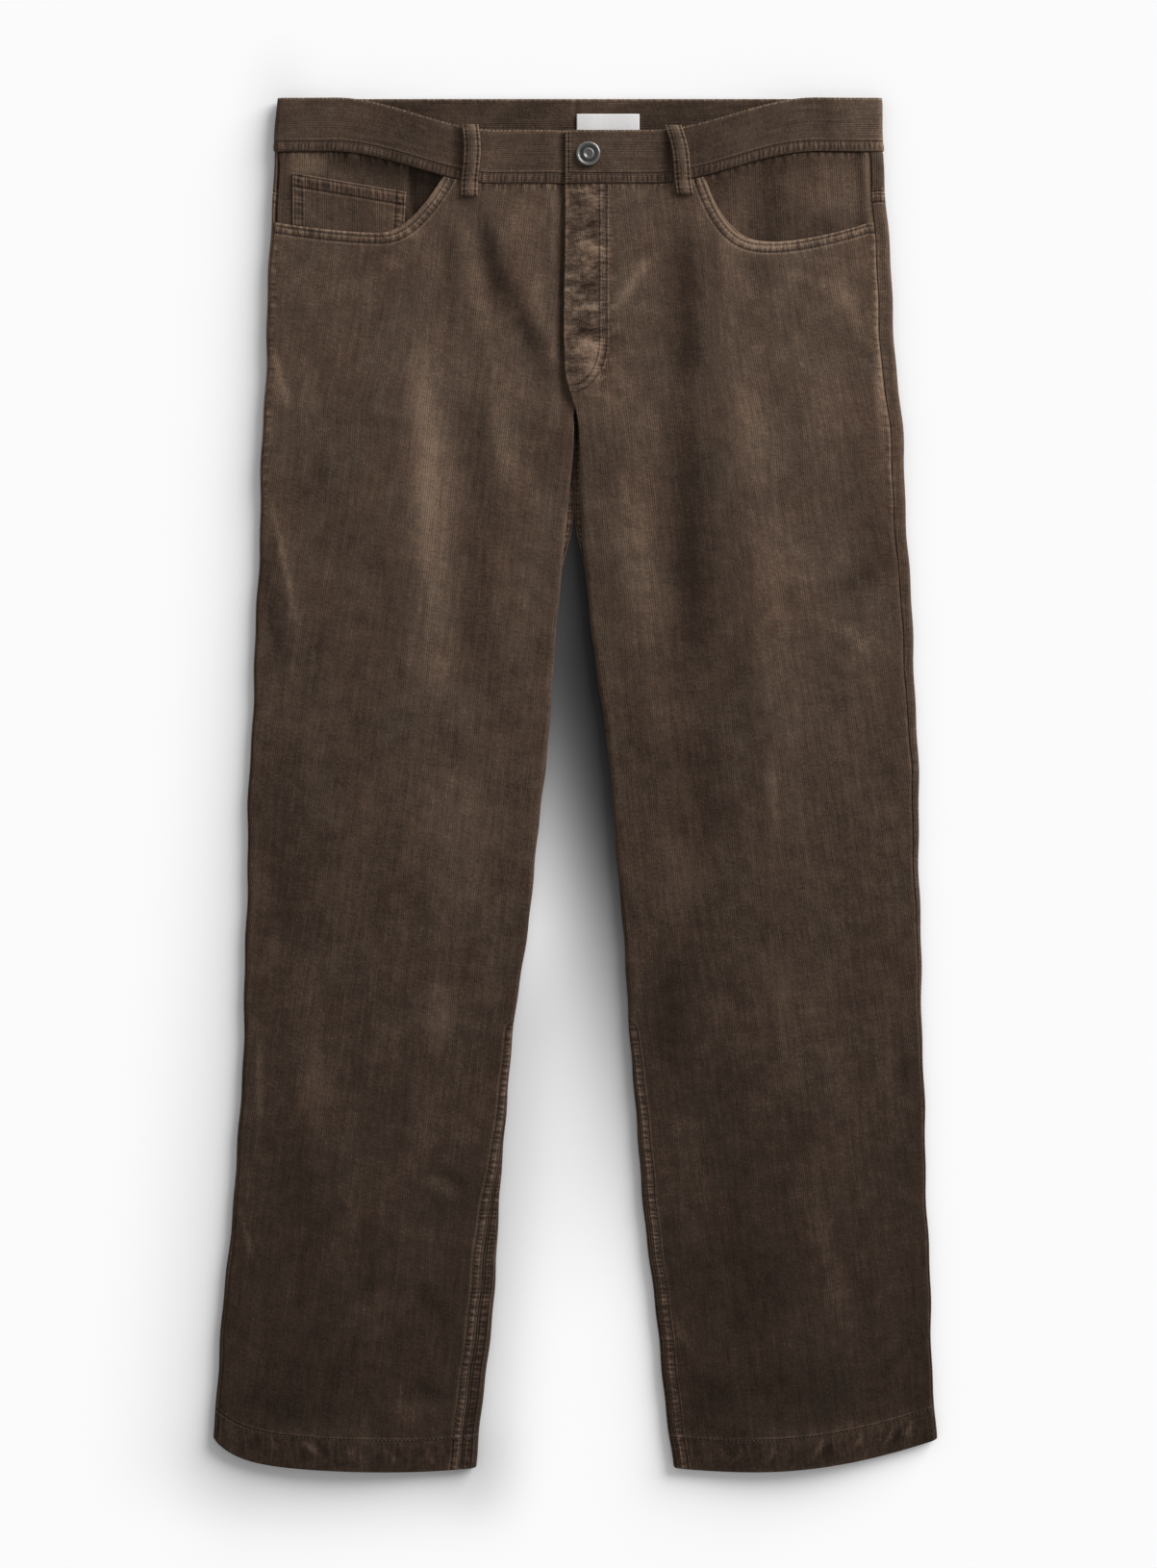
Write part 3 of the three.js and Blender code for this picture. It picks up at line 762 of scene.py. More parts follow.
def corduroy(name, seams=(), crinkled=False):
    """Fine corduroy, puckered along its seams, and crinkled where the cloth asks for it, with painted light
    and shade on its ribs, puckers, crinkles and rows of stitching.
    """
    looks = bpy.context.scene.trousers_looks
    sizes = bpy.context.scene.trousers_sizes
    s = Shader(name)
    grain = s.node("UVMap", {"uv_map": "grain"})
    place = s.node("TexCoord", {}, {}, output="Object")
    x, y, _ = s.parts(place)
    across, lengthwise, _ = s.parts(grain)

    wander = s.noise(s.vector(across * 45, lengthwise * 16), 1.0, 1.0)
    phase = s.math("FRACT", (across + (wander - 0.5) * 0.0016) / sizes.rib_pitch)
    rib = s.math("SINE", phase * math.pi) ** 0.7
    hue = s.noise(s.vector(across * 19, lengthwise * 14, 9.0), 1.0, 3.0, 0.6)

    # The tone attribute is the cloth's lightness, with its painted light and shade.
    tone = s.attribute("tone")
    height = rib * 0.00014
    # Rib tops painted lighter and the grooves between them painted darker, more so where the cloth is
    # lighter: painted highlight and shade.
    light = tone + (rib - 0.62) * (tone * 0.24 + 0.07)
    for fine_across, fine_along, part, detail, rough, in_light, in_height in NAP_PATTERNS:
        pattern = s.noise(s.vector(across * fine_across, lengthwise * fine_along, part), 1.0, detail, rough)
        light = light + (pattern - 0.5) * in_light
        if in_height:
            height = height + pattern * in_height
    for seam in seams:
        off = s.attribute(seam["attribute"])
        run = {"x": x, "y": y}.get(seam["runs"]) or s.attribute(seam["runs"])
        reach = s.bell(off, seam["centre"], seam["reach"])
        wobble = s.noise(s.vector(run * 70, off * 20, 3.0), 1.0, 2.0, 0.6)
        ladder = s.math("SINE", run * (2 * math.pi / seam["pitch"]) + wobble * 22)
        pleat = s.noise(s.vector(run * (1 / seam["pitch"]), off * 45, 3.0), 1.0, 2.0, 0.6)
        # The puckers' shade paints light on their rises and shade in their dips.
        pucker = (ladder * 0.22 + (pleat - 0.5) * 1.1) * reach
        height = height + pucker * seam["deep"]
        light = light + pucker * seam["shade"]
        # Each row of stitching: painted shade in its groove and a painted highlight on the ridge beside it.
        for row in seam["rows"]:
            groove = s.bell(off, row, 0.0007)
            height = height - groove * 0.0006
            light = light - groove * 0.18 + s.bell(off, row + 0.0015, 0.0008) * 0.20
        # The seam's edge is lighter, partly by wear of the pile and partly by a painted highlight.
        light = light + s.bell(off, 0.0006, 0.0012) * seam["wear_and_highlight"]
    if crinkled:
        weight = s.attribute("crinkle") * 1000
        # Crinkles: the noise that raises the cloth also paints light on their rises and shade in their dips.
        crease = s.noise(s.vector(x * 0.45 + y * 0.2, y * 1.0 - x * 0.3), 170.0, 2.0, 0.6)
        height = height + (crease - 0.5) * weight * 0.0030
        light = light + (crease - 0.5) * weight * 1.4
    stops = [
        (0.0, rgba(looks.cloth_deep)),
        (0.3, rgba(looks.cloth_dark)),
        (0.6, rgba(looks.cloth_middle)),
        (1.0, rgba(looks.cloth_light)),
    ]
    colour = s.node("ValToRGB", {"stops": stops}, {"Fac": s.clamp(light)})
    tint = s.blend(s.clamp((hue - 0.5) * 2.4 + 0.5), (1.05, 0.98, 0.95, 1), (0.97, 1.005, 1.0, 1))
    colour = s.node("VectorMath", {"operation": "MULTIPLY"}, {0: colour, 1: tint})
    return s.complete(
        {
            "Base Color": colour,
            "Roughness": s.clamp(1.0 - light * 0.12),
            "Normal": s.bump(height),
            "Specular IOR Level": 0.10,
            "Sheen Weight": 0.12,
            "Sheen Roughness": 0.5,
            "Sheen Tint": rgba(looks.sheen),
        }
    )


def thread_finish():
    looks = bpy.context.scene.trousers_looks
    s = Shader("sewing_thread")
    place = s.node("TexCoord", {}, {}, output="Object")
    twist = s.noise(place, 2500.0, 1.0)
    tone = s.noise(place, 60.0, 2.0)
    colour = s.blend(s.clamp(tone * 0.6 + twist * 0.4), rgba(looks.cloth_dark), rgba(looks.thread))
    return s.complete({"Base Color": colour, "Roughness": 0.75, "Normal": s.bump(twist * 0.0001)})


def label_finish():
    looks = bpy.context.scene.trousers_looks
    s = Shader("woven_label")
    grain = s.node("UVMap", {"uv_map": "grain"})
    across, lengthwise, _ = s.parts(grain)
    warp = s.math("SINE", across * (2 * math.pi / 0.00035))
    weft = s.math("SINE", lengthwise * (2 * math.pi / 0.0005))
    cloud = s.noise(s.vector(across * 90, lengthwise * 60), 1.0, 2.0)
    shade = s.clamp((warp * weft) * 0.18 + cloud * 0.5)
    colour = s.blend(shade, rgba(looks.label), rgba([c * 0.84 for c in looks.label]))
    height = s.bump((warp + weft) * 0.00002)
    return s.complete({"Base Color": colour, "Roughness": 0.6, "Normal": height, "Sheen Weight": 0.1})


def metal_finish(centre):
    """Aged nickel, darker and rougher in the sunk ring of the button."""
    looks = bpy.context.scene.trousers_looks
    s = Shader("aged_nickel")
    place = s.node("TexCoord", {}, {}, output="Object")
    x, y, _ = s.parts(place)
    dx, dy = x - centre[0] * 0.001, y - centre[1] * 0.001
    far = s.math("SQRT", dx * dx + dy * dy)
    ring = s.bell(far, 0.0056, 0.0019)
    speck = s.noise(place, 2600.0, 2.0, 0.7)
    cloud = s.noise(place, 260.0, 3.0)
    # The middle is painted dark: painted shade standing in for a hole.
    eye = s.bell(far, 0.0, 0.0014)
    dark = s.clamp(ring * (0.6 + speck * 0.8) + eye * 0.9 + (cloud - 0.5) * 0.5)
    colour = s.blend(dark, rgba(looks.metal), rgba([c * 0.16 for c in looks.metal]))
    return s.complete(
        {
            "Base Color": colour,
            "Metallic": 0.9,
            "Roughness": s.clamp(0.32 + dark * 0.35),
            "Normal": s.bump(speck * ring * 0.00022 + cloud * 0.00005),
        }
    )


# ---------------------------------------------------------------------------------------------
# Stitching
# ---------------------------------------------------------------------------------------------
def sew(bm, points, normals, length=2.3, thick=0.5):
    """Lays stitches along a line of points on the cloth."""
    pitch = bpy.context.scene.trousers_sizes.stitch_pitch * 1000
    points, normals = np.asarray(points, float), np.asarray(normals, float)
    steps = np.linalg.norm(np.diff(points, axis=0), axis=1)
    run = np.concatenate([[0], np.cumsum(steps)])

    def read(table, at):
        return Vector([np.interp(at, run, table[:, c]) for c in range(3)])

    for k in range(int(run[-1] / pitch)):
        at = (k + 0.5) * pitch
        start, end = read(points, at - length / 2), read(points, at + length / 2)
        up = read(normals, at).normalized()
        forward = end - start
        if forward.length < 1e-6:
            continue
        forward.normalize()
        side = up.cross(forward).normalized()
        centre = (start + end) / 2 + up * (thick * 0.12)
        turn = Matrix((side * thick / 2, up * thick / 2, forward * length / 2)).transposed().to_4x4()
        place = Matrix.Translation(centre) @ turn
        scaled = Matrix.Scale(0.001, 4) @ place
        bmesh.ops.create_uvsphere(bm, u_segments=6, v_segments=3, radius=1, matrix=scaled)


def on_front(side, x, y):
    q = loop_place(side, "front", x, y)
    return surface(side, q, y), outward(side, q, y)


def on_back(side, x, y, proud=0):
    """Points on a back, or proud of it where a patch pocket lies on it, and the way out of them."""
    q = loop_place(side, "back", x, y)
    normals = outward(side, q, y)
    return surface(side, q, y) + normals * proud, normals


def stitch_piece(name, rows, material):
    """One piece for all the stitches of a group. Each row is its points and normals."""
    bm = bmesh.new()
    for row in rows:
        part = bmesh.new()
        sew(part, *row)
        held = bpy.data.meshes.new("row")
        bmesh.ops.recalc_face_normals(part, faces=part.faces[:])
        part.to_mesh(held)
        part.free()
        bm.from_mesh(held)
        bpy.data.meshes.remove(held)
    piece = piece_of(name, bm)
    piece.data.shade_smooth()
    finish_piece(piece, None, material)


# ---------------------------------------------------------------------------------------------
# Pieces
# ---------------------------------------------------------------------------------------------
def mouth_points(side, count=60):
    m = MOUTHS[side]
    x = np.linspace(m["side"][0] + 12 * SIGN[side], m["front"][0], count)
    return x, mouth_line(side, x)


def fly_row(inset):
    """The curved row of stitching beside the fly, as x and y."""
    straight = np.linspace(FLY_ROWS["top"], FLY_ROWS["turn"], 40)
    turn = np.linspace(0, math.pi / 2, 24)[1:]
    depth = FLY_ROWS["turn"] - FLY_ROWS["low"] + inset * 0.15
    centre = FLY_EDGE_X + 4
    curve_x = centre + (FLY_EDGE_X + inset - centre) * np.cos(turn)
    curve_y = FLY_ROWS["turn"] - depth * np.sin(turn)
    x = np.concatenate([np.full(40, FLY_EDGE_X + inset), curve_x])
    return x, np.concatenate([straight, curve_y])


def front_panel(side, material):
    def top(x):
        beyond = (x - MOUTHS[side]["front"][0]) * SIGN[side]
        return np.minimum(band_low(x, "front") - SEAM_GAP, np.where(beyond > 0, mouth_line(side, x), WAIST_Y))

    columns, rows = eased(stations(245, 3.2)), stations(1010, 3.7)
    points, normals = tube_grid(side, columns, rows, (front_start, front_end), top, hem_line)
    x, y = points[..., 0], points[..., 1]
    near_in, near_out, near_low, near_top = near_edges(points)
    mouth, mouth_run = distance_to(np.stack(mouth_points(side), -1), x, y)
    thick = leg_thick(near_low) + 0.9 * (1 - smooth((mouth - 7) / 2))
    grain = grain_of(side, points, near_in)
    welt = np.minimum(near_top, mouth)
    round_edges(points, normals, thick, [near_in, near_out, near_low, near_top, mouth])
    between_rows = sum(FLY_ROWS["insets"]) / 2
    row_x, row_y = fly_row(between_rows)
    fly, _ = distance_to(np.stack([row_x, row_y], -1), x, y)
    fly = fly * np.where((x < row_x.max() - 1) & (x < FLY_EDGE_X + between_rows), -1, 1)
    inner = distance_to([(FLY_EDGE_X, 480), (FLY_EDGE_X, 310)], x, y)[0]
    crinkle = np.zeros_like(x)
    if side == "left":
        crinkle = smooth((44 - inner) / 20) * smooth((490 - y) / 20) * smooth((y - 300) / 30)
    crinkle = np.maximum(crinkle, 0.25 * smooth((34 - near_low) / 10))
    values = {
        "from_mouth": mouth,
        "mouth_run": mouth_run,
        "from_hem": near_low,
        "from_inseam": near_in + 40 * smooth((y + 190) / 30),
        "from_outseam": near_out + (14 if side == "right" else 9) * smooth((230 - y) / 60),
        "from_fly": fly,
        "from_band": near_top + np.where(welt < near_top - 1, 60, 0),
        "crinkle": crinkle,
    }
    # The pocket mouths' lips are lighter, partly by wear and partly by a painted highlight, which is stronger
    # on the left between x 106 and 178.
    painted_lip_highlight = 0.45 * smooth((x - 106) / 10) * smooth((178 - x) / 16) if side == "left" else 0
    # A ragged painted highlight along the left front's fly edge.
    rough = 0.6 + 0.4 * np.sin(y / 3.1) * np.sin(y / 7.7)
    fly_edge_highlight = 0.30 * rough * smooth((y - 300) / 20) if side == "left" else 0
    lip_wear_and_highlight = 0.15 if side == "right" else 0.22 + painted_lip_highlight
    tone = tone_with_painted_light(x, y) + lip_wear_and_highlight * bell((mouth - 1.8) / 2.6)
    # Painted highlights along the outer and inner rolled edges of the fronts.
    tone = tone + 0.12 * bell(near_out / 1.6) + (0.10 + fly_edge_highlight) * bell(near_in / 2.2)
    tone = tone + 0.16 * bell((near_in - 4.4) / 3.4) * smooth((-170 - y) / 90)
    wall = (points, normals, thick)
    sheet = {"flat": (0.30, 1.03), "rests_on": [f"back_{side}"], "area": 0.245}
    cloth_piece(f"front_{side}", wall, grain, material, values, tone, **sheet)


def back_panel(side, material):
    def top(x):
        return yoke_line(x) - SEAM_GAP / 2

    seams = (back_start, back_end)
    points, normals = tube_grid(side, stations(245, 5.5), stations(1000, 6), seams, top, hem_line)
    near_out, near_in, near_low, near_top = near = near_edges(points)
    thick = leg_thick(near_low)
    grain = grain_of(side, points, near_out)
    round_edges(points, normals, thick, near)
    values = {
        "from_hem": near_low,
        "from_inseam": near_in,
        "from_outseam": near_out,
        "from_yoke": near_top,
    }
    x, y = points[..., 0], points[..., 1]
    tone = mix(tone_with_painted_light(x, y), tone_with_painted_falloff(y), smooth((y - 60) / 80))
    wall = (points, normals, thick)
    sheet = {"flat": (0.30, 1.0), "rests_on": [f"patch_pocket_{side}"], "area": 0.25}
    cloth_piece(f"back_{side}", wall, grain, material, values, tone, **sheet)


def yoke_panel(side, material):
    def top(x):
        return band_low(x, "back") - SEAM_GAP / 2

    def low(x):
        return yoke_line(x) + SEAM_GAP / 2

    seams = (back_start, back_end)
    points, normals = tube_grid(side, stations(245, 4), stations(50, 3), seams, top, low)
    near_out, _, near_low, _ = near = near_edges(points)
    thick = np.full(near_low.shape, CLOTH_THICK)
    grain = grain_of(side, points, near_out)
    round_edges(points, normals, thick, near)
    values = {"from_yoke": near_low, "from_outseam": near_out}
    sheet = {"flat": (0.25, 0.07), "rests_on": ["waistband"], "area": 0.0125}
    cloth_piece(f"yoke_{side}", (points, normals, thick), grain, material, values, **sheet)


def facing_depth(x, y):
    seam = smooth((band_low(x, "front") - y) / 15)
    return mix(1.6, 4.5, seam)


def pocket_facing(side, material):
    m = MOUTHS[side]
    inner_x = m["front"][0] - SIGN[side] * 18

    def start(side, y):
        return loop_place(side, "front", inner_x, y)

    def depth(x, y):
        gape = 1.3 * bell((x + 128) / 9) if side == "right" else 0.5 * np.sin(x / 9)
        deep = facing_depth(x, y) + gape * smooth((484 - y) / 20)
        if side == "left":
            from_edge = along(OUTLINE[side], "outer", y) - x
            deep = mix(0.9, deep, smooth((from_edge - 12) / 14))
        return deep

    def top(x):
        return band_low(x, "front") - SEAM_GAP

    def low(x):
        return 0 * x + m["low"][1] - 24

    seams = (start, front_end)
    points, normals = tube_grid(side, stations(150, 2.5), stations(90, 2.5), seams, top, low, depth)
    near_in, near_out, _, near_top = near = near_edges(points)
    thick = np.full(near_top.shape, LINING_THICK)
    grain = grain_of(side, points, near_in, FACING_LEAN)
    round_edges(points, normals, thick, near)
    x, y = points[..., 0], points[..., 1]
    tone = 0.46 + 0.05 * np.sin(x / 17)
    # Right: painted shade in the gape towards the mouth's front and under the band, a thin lighter line near
    # x -130, and painted light under the band by the side seam. Left: a painted highlight on a fold near x
    # 202, painted shade at the mouth's low end near x 152 and a painted highlight along the outer edge.
    shade_under_band = bell(near_top / 12)
    if side == "right":
        tone = tone - 0.28 * smooth((x + 138) / 14) - 0.16 * shade_under_band * smooth((x + 208) / 24)
        tone = tone + 0.30 * bell((x + 130 + 0.1 * (y - 460)) / 2.5)
        tone = tone + 0.38 * bell((x + 208) / 17) * smooth((y - 472) / 10)
    else:
        tone = tone + 0.17 * bell((x - 202) / 24) * smooth((y - 440) / 18)
        tone = tone - 0.20 * bell((x - 152) / 15) + 0.30 * bell((near_out - 3) / 2.6)
    wall = (points, normals, thick)
    sheet = {"flat": (0.155, 0.09), "rests_on": [f"back_{side}"]}
    cloth_piece(f"pocket_facing_{side}", wall, grain, material, {"from_band": near_top}, tone, **sheet)


def laid_grid(side, face, plan, stand, columns, rows, deep=PANEL_SINK):
    """A grid laid on the garment: plan gives x and y of the cloth, and stand its height off it."""
    u, v = np.meshgrid(columns, rows)
    x, y = plan(u, v)
    q = loop_place(side, face, x, y)
    normals = outward(side, q, y, deep)
    points = surface(side, q, y, deep) + normals * stand(u, v, x, y)[..., None]
    return points, normals


def coin_pocket(material):
    def plan(u, v):
        x = mix(-220, -131, u) - 4 * (1 - v) * u
        return x, mix(478, 462, u) - 70 * (1 - v)

    def stand(u, v, x, y):
        bow = 0.5 * np.sin(v * 7 + u * 3) * smooth(u * 4) * smooth((1 - u) * 4)
        return 0.45 + LINING_THICK - facing_depth(x, y) + bow

    points, normals = laid_grid("right", "front", plan, stand, stations(89, 2), stations(70, 2))
    near_side, near_front, near_low, near_top = near_edges(points)
    turned_in = 0.6 * (1 - smooth((near_top - 10) / 1.5))
    thick = 1.3 + turned_in
    points += normals * turned_in[..., None]
    grain = np.stack([near_side, near_low], -1)
    round_edges(points, normals, thick, [near_side, near_front, near_top])
    values = {
        "from_top": near_top,
        "from_side": np.minimum(near_side, near_front),
        "side_run": near_low,
    }
    sheet = {"flat": (0.09, 0.07), "rests_on": ["pocket_facing_right"]}
    cloth_piece("coin_pocket", (points, normals, thick), grain, material, values, **sheet)


def patch_plan(side):
    s = SIGN[side]

    def plan(u, v):
        fall = 1 - v
        x = s * (52 + 150 * u + 7 * fall * (1 - 2 * u))
        pointed = 18 * (1 - np.abs(2 * u - 1)) * fall
        return x, 404 + 12 * (u - 0.5) - 138 * fall - pointed

    return plan


def patch_pocket(side, material):
    def stand(u, v, x, y):
        return np.full(u.shape, PATCH_LIFT)

    points, normals = laid_grid(side, "back", patch_plan(side), stand, stations(150, 4), stations(140, 4))
    near_in, near_out, near_low, near_top = near = near_edges(points)
    thick = np.full(near_low.shape, LINING_THICK)
    grain = np.stack([near_in, near_low], -1)
    round_edges(points, normals, thick, near)
    values = {"from_edge": np.minimum.reduce([near_in, near_out, near_low]), "from_top": near_top}
    sheet = {"flat": (0.15, 0.156), "rests_on": [f"back_{side}"]}
    cloth_piece(f"patch_pocket_{side}", (points, normals, thick), grain, material, values, **sheet)


def band_grid(columns_per_quarter, rows):
    """The strip from the overlapping left end round the back to the end that passes under it."""
    near = np.array(NEAR_EDGE[:8]) / 240
    quarter = np.unique(np.concatenate([np.linspace(0, 1, columns_per_quarter), 1 - near]))
    opening = np.unique(np.concatenate([quarter, near]))
    blocks = [
        ("left", "front", eased(opening)),
        ("left", "back", 2 - eased(quarter[::-1])[1:]),
        ("right", "back", 2 - eased(quarter)),
        ("right", "front", eased(opening[::-1])[1:]),
    ]
    points, normals, proud = [], [], []
    for side, face, q in blocks:
        qq, v = np.meshgrid(q, rows)
        x = surface(side, qq, np.full(qq.shape, 500.0))[..., 0]
        y = band_top(x, face) - BAND_HIGH * (1 - v)
        points.append(surface(side, qq, y, BAND_SINK))
        normals.append(outward(side, qq, y, BAND_SINK))
        proud.append(smooth((1.06 - qq) / 0.1))
    return [np.concatenate(part, 1) for part in (points, normals, proud)]


def waistband(material):
    rows = stations(BAND_HIGH, 2.2)
    points, normals, proud = band_grid(75, rows)
    near_start, _, near_low, near_top = near = near_edges(points)
    thick = BAND_THICK + BAND_PROUD * proud
    points = points + normals * (BAND_PROUD * proud)[..., None]
    welt = 0.5 * bell((near_low - 3.6) / 2.6) - 0.35 * bell((near_low - BAND_ROW) / 1.1)
    points += normals * (welt * proud)[..., None]
    grain = np.stack([near_low + 1.2 * np.sin(near_start / 70), near_start], -1)
    round_edges(points, normals, thick, near)
    values = {
        "from_low": near_low,
        "from_top": near_top,
        "band_run": near_start,
        "from_end": near_start,
    }
    # The back of the band, seen inside above the front's dip, is painted darker: painted shade.
    tone = 0.38 + 0.06 * proud + 0.09 * np.sin(near_start / 23) * np.sin(near_start / 61)
    tone = tone + 0.12 * smooth((points[..., 0] - 195) / 25) * proud
    # Painted shadow of each front belt loop on the band beside it.
    for loop_x in (-81, 82):
        beside = bell((points[..., 0] - loop_x + 9.5) / 3.4)
        tone = tone - 0.24 * beside * (points[..., 2] > 8)
    sheet = {"flat": (0.99, 0.042), "rests_on": ["belt_loop_back_centre"]}
    cloth_piece("waistband", (points, normals, thick), grain, material, values, tone, **sheet)


LOOPS = [
    ("belt_loop_front_right", "right", "front", -81, -80),
    ("belt_loop_front_left", "left", "front", 77, 88),
    ("belt_loop_back_right", "right", "back", -135, -135),
    ("belt_loop_back_left", "left", "back", 135, 135),
    ("belt_loop_back_centre", "left", "back", 9, 9),
]


def belt_loop(name, side, face, top_x, low_x, material):
    front = face == "front"
    top_y = band_top(np.float64(top_x), face) + (2 if front else -1)
    low_y = band_low(np.float64(low_x), face) - 12
    band_end = (top_y - band_low(np.float64(top_x), face)) / (top_y - low_y)

    def plan(u, v):
        fall = 1 - v
        bend = 1.5 * np.sin(fall * 5) if front else 0
        return mix(top_x, low_x, fall) + (u - 0.5) * LOOP_WIDE + bend, mix(top_y, low_y, fall)

    def stand(u, v, x, y):
        fall = 1 - v
        if not front:
            return np.full(u.shape, SEAM_GAP + LINING_THICK)
        bow = 1.9 * np.sin(np.pi * np.clip(fall / band_end, 0, 1))
        crown = 0.5 * np.sin(np.pi * u)
        foot = 1.3 * bell((v * 56 - 4) / 3.2)
        over_band = BAND_PROUD * smooth((band_end + 0.1 - fall) / 0.08)
        return SEAM_GAP + LOOP_THICK + over_band + bow + crown + foot

    columns, rows = stations(LOOP_WIDE, 1.2), stations(float(top_y - low_y), 1.6)
    deep = BAND_SINK if front else PANEL_SINK
    points, normals = laid_grid(side, face, plan, stand, columns, rows, deep)
    near_a, near_b, near_low, _ = near = near_edges(points)
    thick = np.full(near_low.shape, LOOP_THICK if front else LINING_THICK)
    grain = np.stack([near_a, near_low], -1)
    round_edges(points, normals, thick, near)
    values = {"from_edge": near_a, "far_edge": near_b, "loop_run": near_low}
    share = near_a / (near_a + near_b)
    # A painted highlight along each loop's crown, with its sides painted darker.
    tone = 0.34 + 0.30 * bell((share - 0.62) / 0.24) + 0.07 * np.sin(near_low / 4)
    sheet = {"flat": (0.0132, 0.058), "rests_on": ["waistband"]}
    cloth_piece(name, (points, normals, thick), grain, material, values, tone, **sheet)


def woven_label(material):
    columns = stations(LABEL["right"] - LABEL["left"], 1.5)
    u, v = np.meshgrid(columns, stations(LABEL["deep"], 1.5))
    x, y = mix(LABEL["left"], LABEL["right"], u), LABEL["top"] - LABEL["deep"] * (1 - v)
    z = PATCH_LIFT + BAND_THICK + SEAM_GAP + 1.1 + 0.5 * np.sin(u * math.pi) * v + 0.25 * np.sin(u * 9) * v
    points = np.stack([x, y, z], -1)
    normals = np.zeros_like(points)
    normals[..., 2] = 1
    thick = np.full(x.shape, 0.8)
    near = near_edges(points)
    round_edges(points, normals, thick, near)
    grain = np.stack([near[0], near[2]], -1)
    sheet = {"flat": (0.049, 0.034), "rests_on": ["waistband"]}
    cloth_piece("label", (points, normals, thick), grain, material, slot="label_cloth", **sheet)


def shank_button(material):
    """A dished button: a rim, a sunk ring, a raised eye and a hollow middle."""
    x, y = map(np.float64, BUTTON)
    seat = float(on_front("left", x, y)[0][2]) + BAND_PROUD + SEAM_GAP
    profile = [
        (0.0, 0.0),
        (8.0, 0.0),
        (9.2, 0.4),
        (9.5, 1.2),
        (9.5, 2.1),
        (9.2, 2.8),
        (8.7, 3.15),
        (8.1, 3.2),
        (7.6, 2.95),
        (7.3, 2.5),
        (6.9, 2.3),
        (4.6, 2.35),
        (4.2, 2.6),
        (3.9, 2.95),
        (3.4, 3.05),
        (2.9, 2.9),
        (2.5, 2.3),
        (2.0, 1.7),
        (1.3, 1.5),
        (0.8, 1.75),
        (0.0, 1.9),
    ]
    bm = bmesh.new()
    verts = [bm.verts.new((BUTTON[0] + r, BUTTON[1], seat + z)) for r, z in profile]
    edges = [bm.edges.new(pair) for pair in zip(verts[:-1], verts[1:])]
    bmesh.ops.spin(
        bm,
        geom=verts + edges,
        cent=(*BUTTON, seat),
        axis=(0, 0, 1),
        angle=2 * math.pi,
        steps=64,
        use_merge=True,
    )
    bmesh.ops.remove_doubles(bm, verts=bm.verts[:], dist=0.005)
    bmesh.ops.recalc_face_normals(bm, faces=bm.faces[:])
    bmesh.ops.scale(bm, verts=bm.verts[:], vec=(0.001, 0.001, 0.001))
    piece = piece_of("button", bm)
    piece.data.shade_smooth()
    finish_piece(piece, "button", material)


def front_rows():
    """Round the pocket mouths and beside the fly."""
    rows = []
    for side in ("right", "left"):
        path = np.stack(mouth_points(side, 140), -1)
        tangent = np.gradient(path, axis=0)
        tangent /= np.linalg.norm(tangent, axis=1, keepdims=True)
        inward = np.stack([tangent[:, 1], -tangent[:, 0]], -1)
        inward *= np.where(inward[:, 1] > 0, -1, 1)[:, None]
        for inset in MOUTH_ROWS:
            line = path + inward * inset
            line = line[line[:, 1] < band_low(line[:, 0], "front") - 1]
            rows.append(on_front(side, line[:, 0], line[:, 1]))
    for inset in FLY_ROWS["insets"]:
        rows.append(on_front("left", *fly_row(inset)))
    return rows


def leg_rows():
    """Down the inseams, where they show, and round the hems."""
    rows = []
    for side in ("right", "left"):
        down = np.linspace(-200, HEM_Y + 26, 120)
        for inset in INSEAM_ROWS:
            q = turned(side, down, along(SEAMS[side], "inseam", down) + inset)
            rows.append((surface(side, q, down), outward(side, q, down)))
        for ends in ((0.03, 0.97), (1.03, 1.97)):
            q = np.linspace(*ends, 120)
            x = surface(side, q, np.full(120, HEM_Y + HEM_DEEP, float))[..., 0]
            y = hem_line(x) + HEM_DEEP
            rows.append((surface(side, q, y), outward(side, q, y)))
    return rows


def band_rows():
    """Along the low edge and the top edge of the waistband."""
    columns = stations(BAND_HIGH, 2)
    points, normals, proud = band_grid(75, columns)
    lift = points + normals * (BAND_PROUD * proud)[..., None]
    low = int(np.argmin(np.abs(columns * BAND_HIGH - BAND_ROW)))
    return [(lift[row], normals[row]) for row in (low, len(columns) - 3)]


def back_rows():
    """Along the yokes, round the patch pockets and down the seat."""
    rows = []
    for side in ("right", "left"):
        x = SIGN[side] * np.linspace(2, 226, 90)
        for inset in BACK_ROWS:
            rows.append(on_back(side, x, yoke_line(x) - inset))
        plan = patch_plan(side)
        for inset in (0.014, 0.054):
            down, across = np.linspace(1, inset, 40), np.linspace(inset, 1 - inset, 60)[1:]
            u = np.concatenate([np.full(40, inset), across, np.full(39, 1 - inset)])
            v = np.concatenate([down, np.full(59, inset), down[::-1][1:]])
            rows.append(on_back(side, *plan(u, v), PATCH_LIFT))
        u = np.linspace(0.02, 0.98, 60)
        rows.append(on_back(side, *plan(u, np.full(60, 1 - 16 / 138)), PATCH_LIFT))
    y = np.linspace(CROTCH_BACK_Y + 12, 420, 80)
    for inset in BACK_ROWS:
        rows.append(on_back("left", np.full(80, inset), y))
    return rows


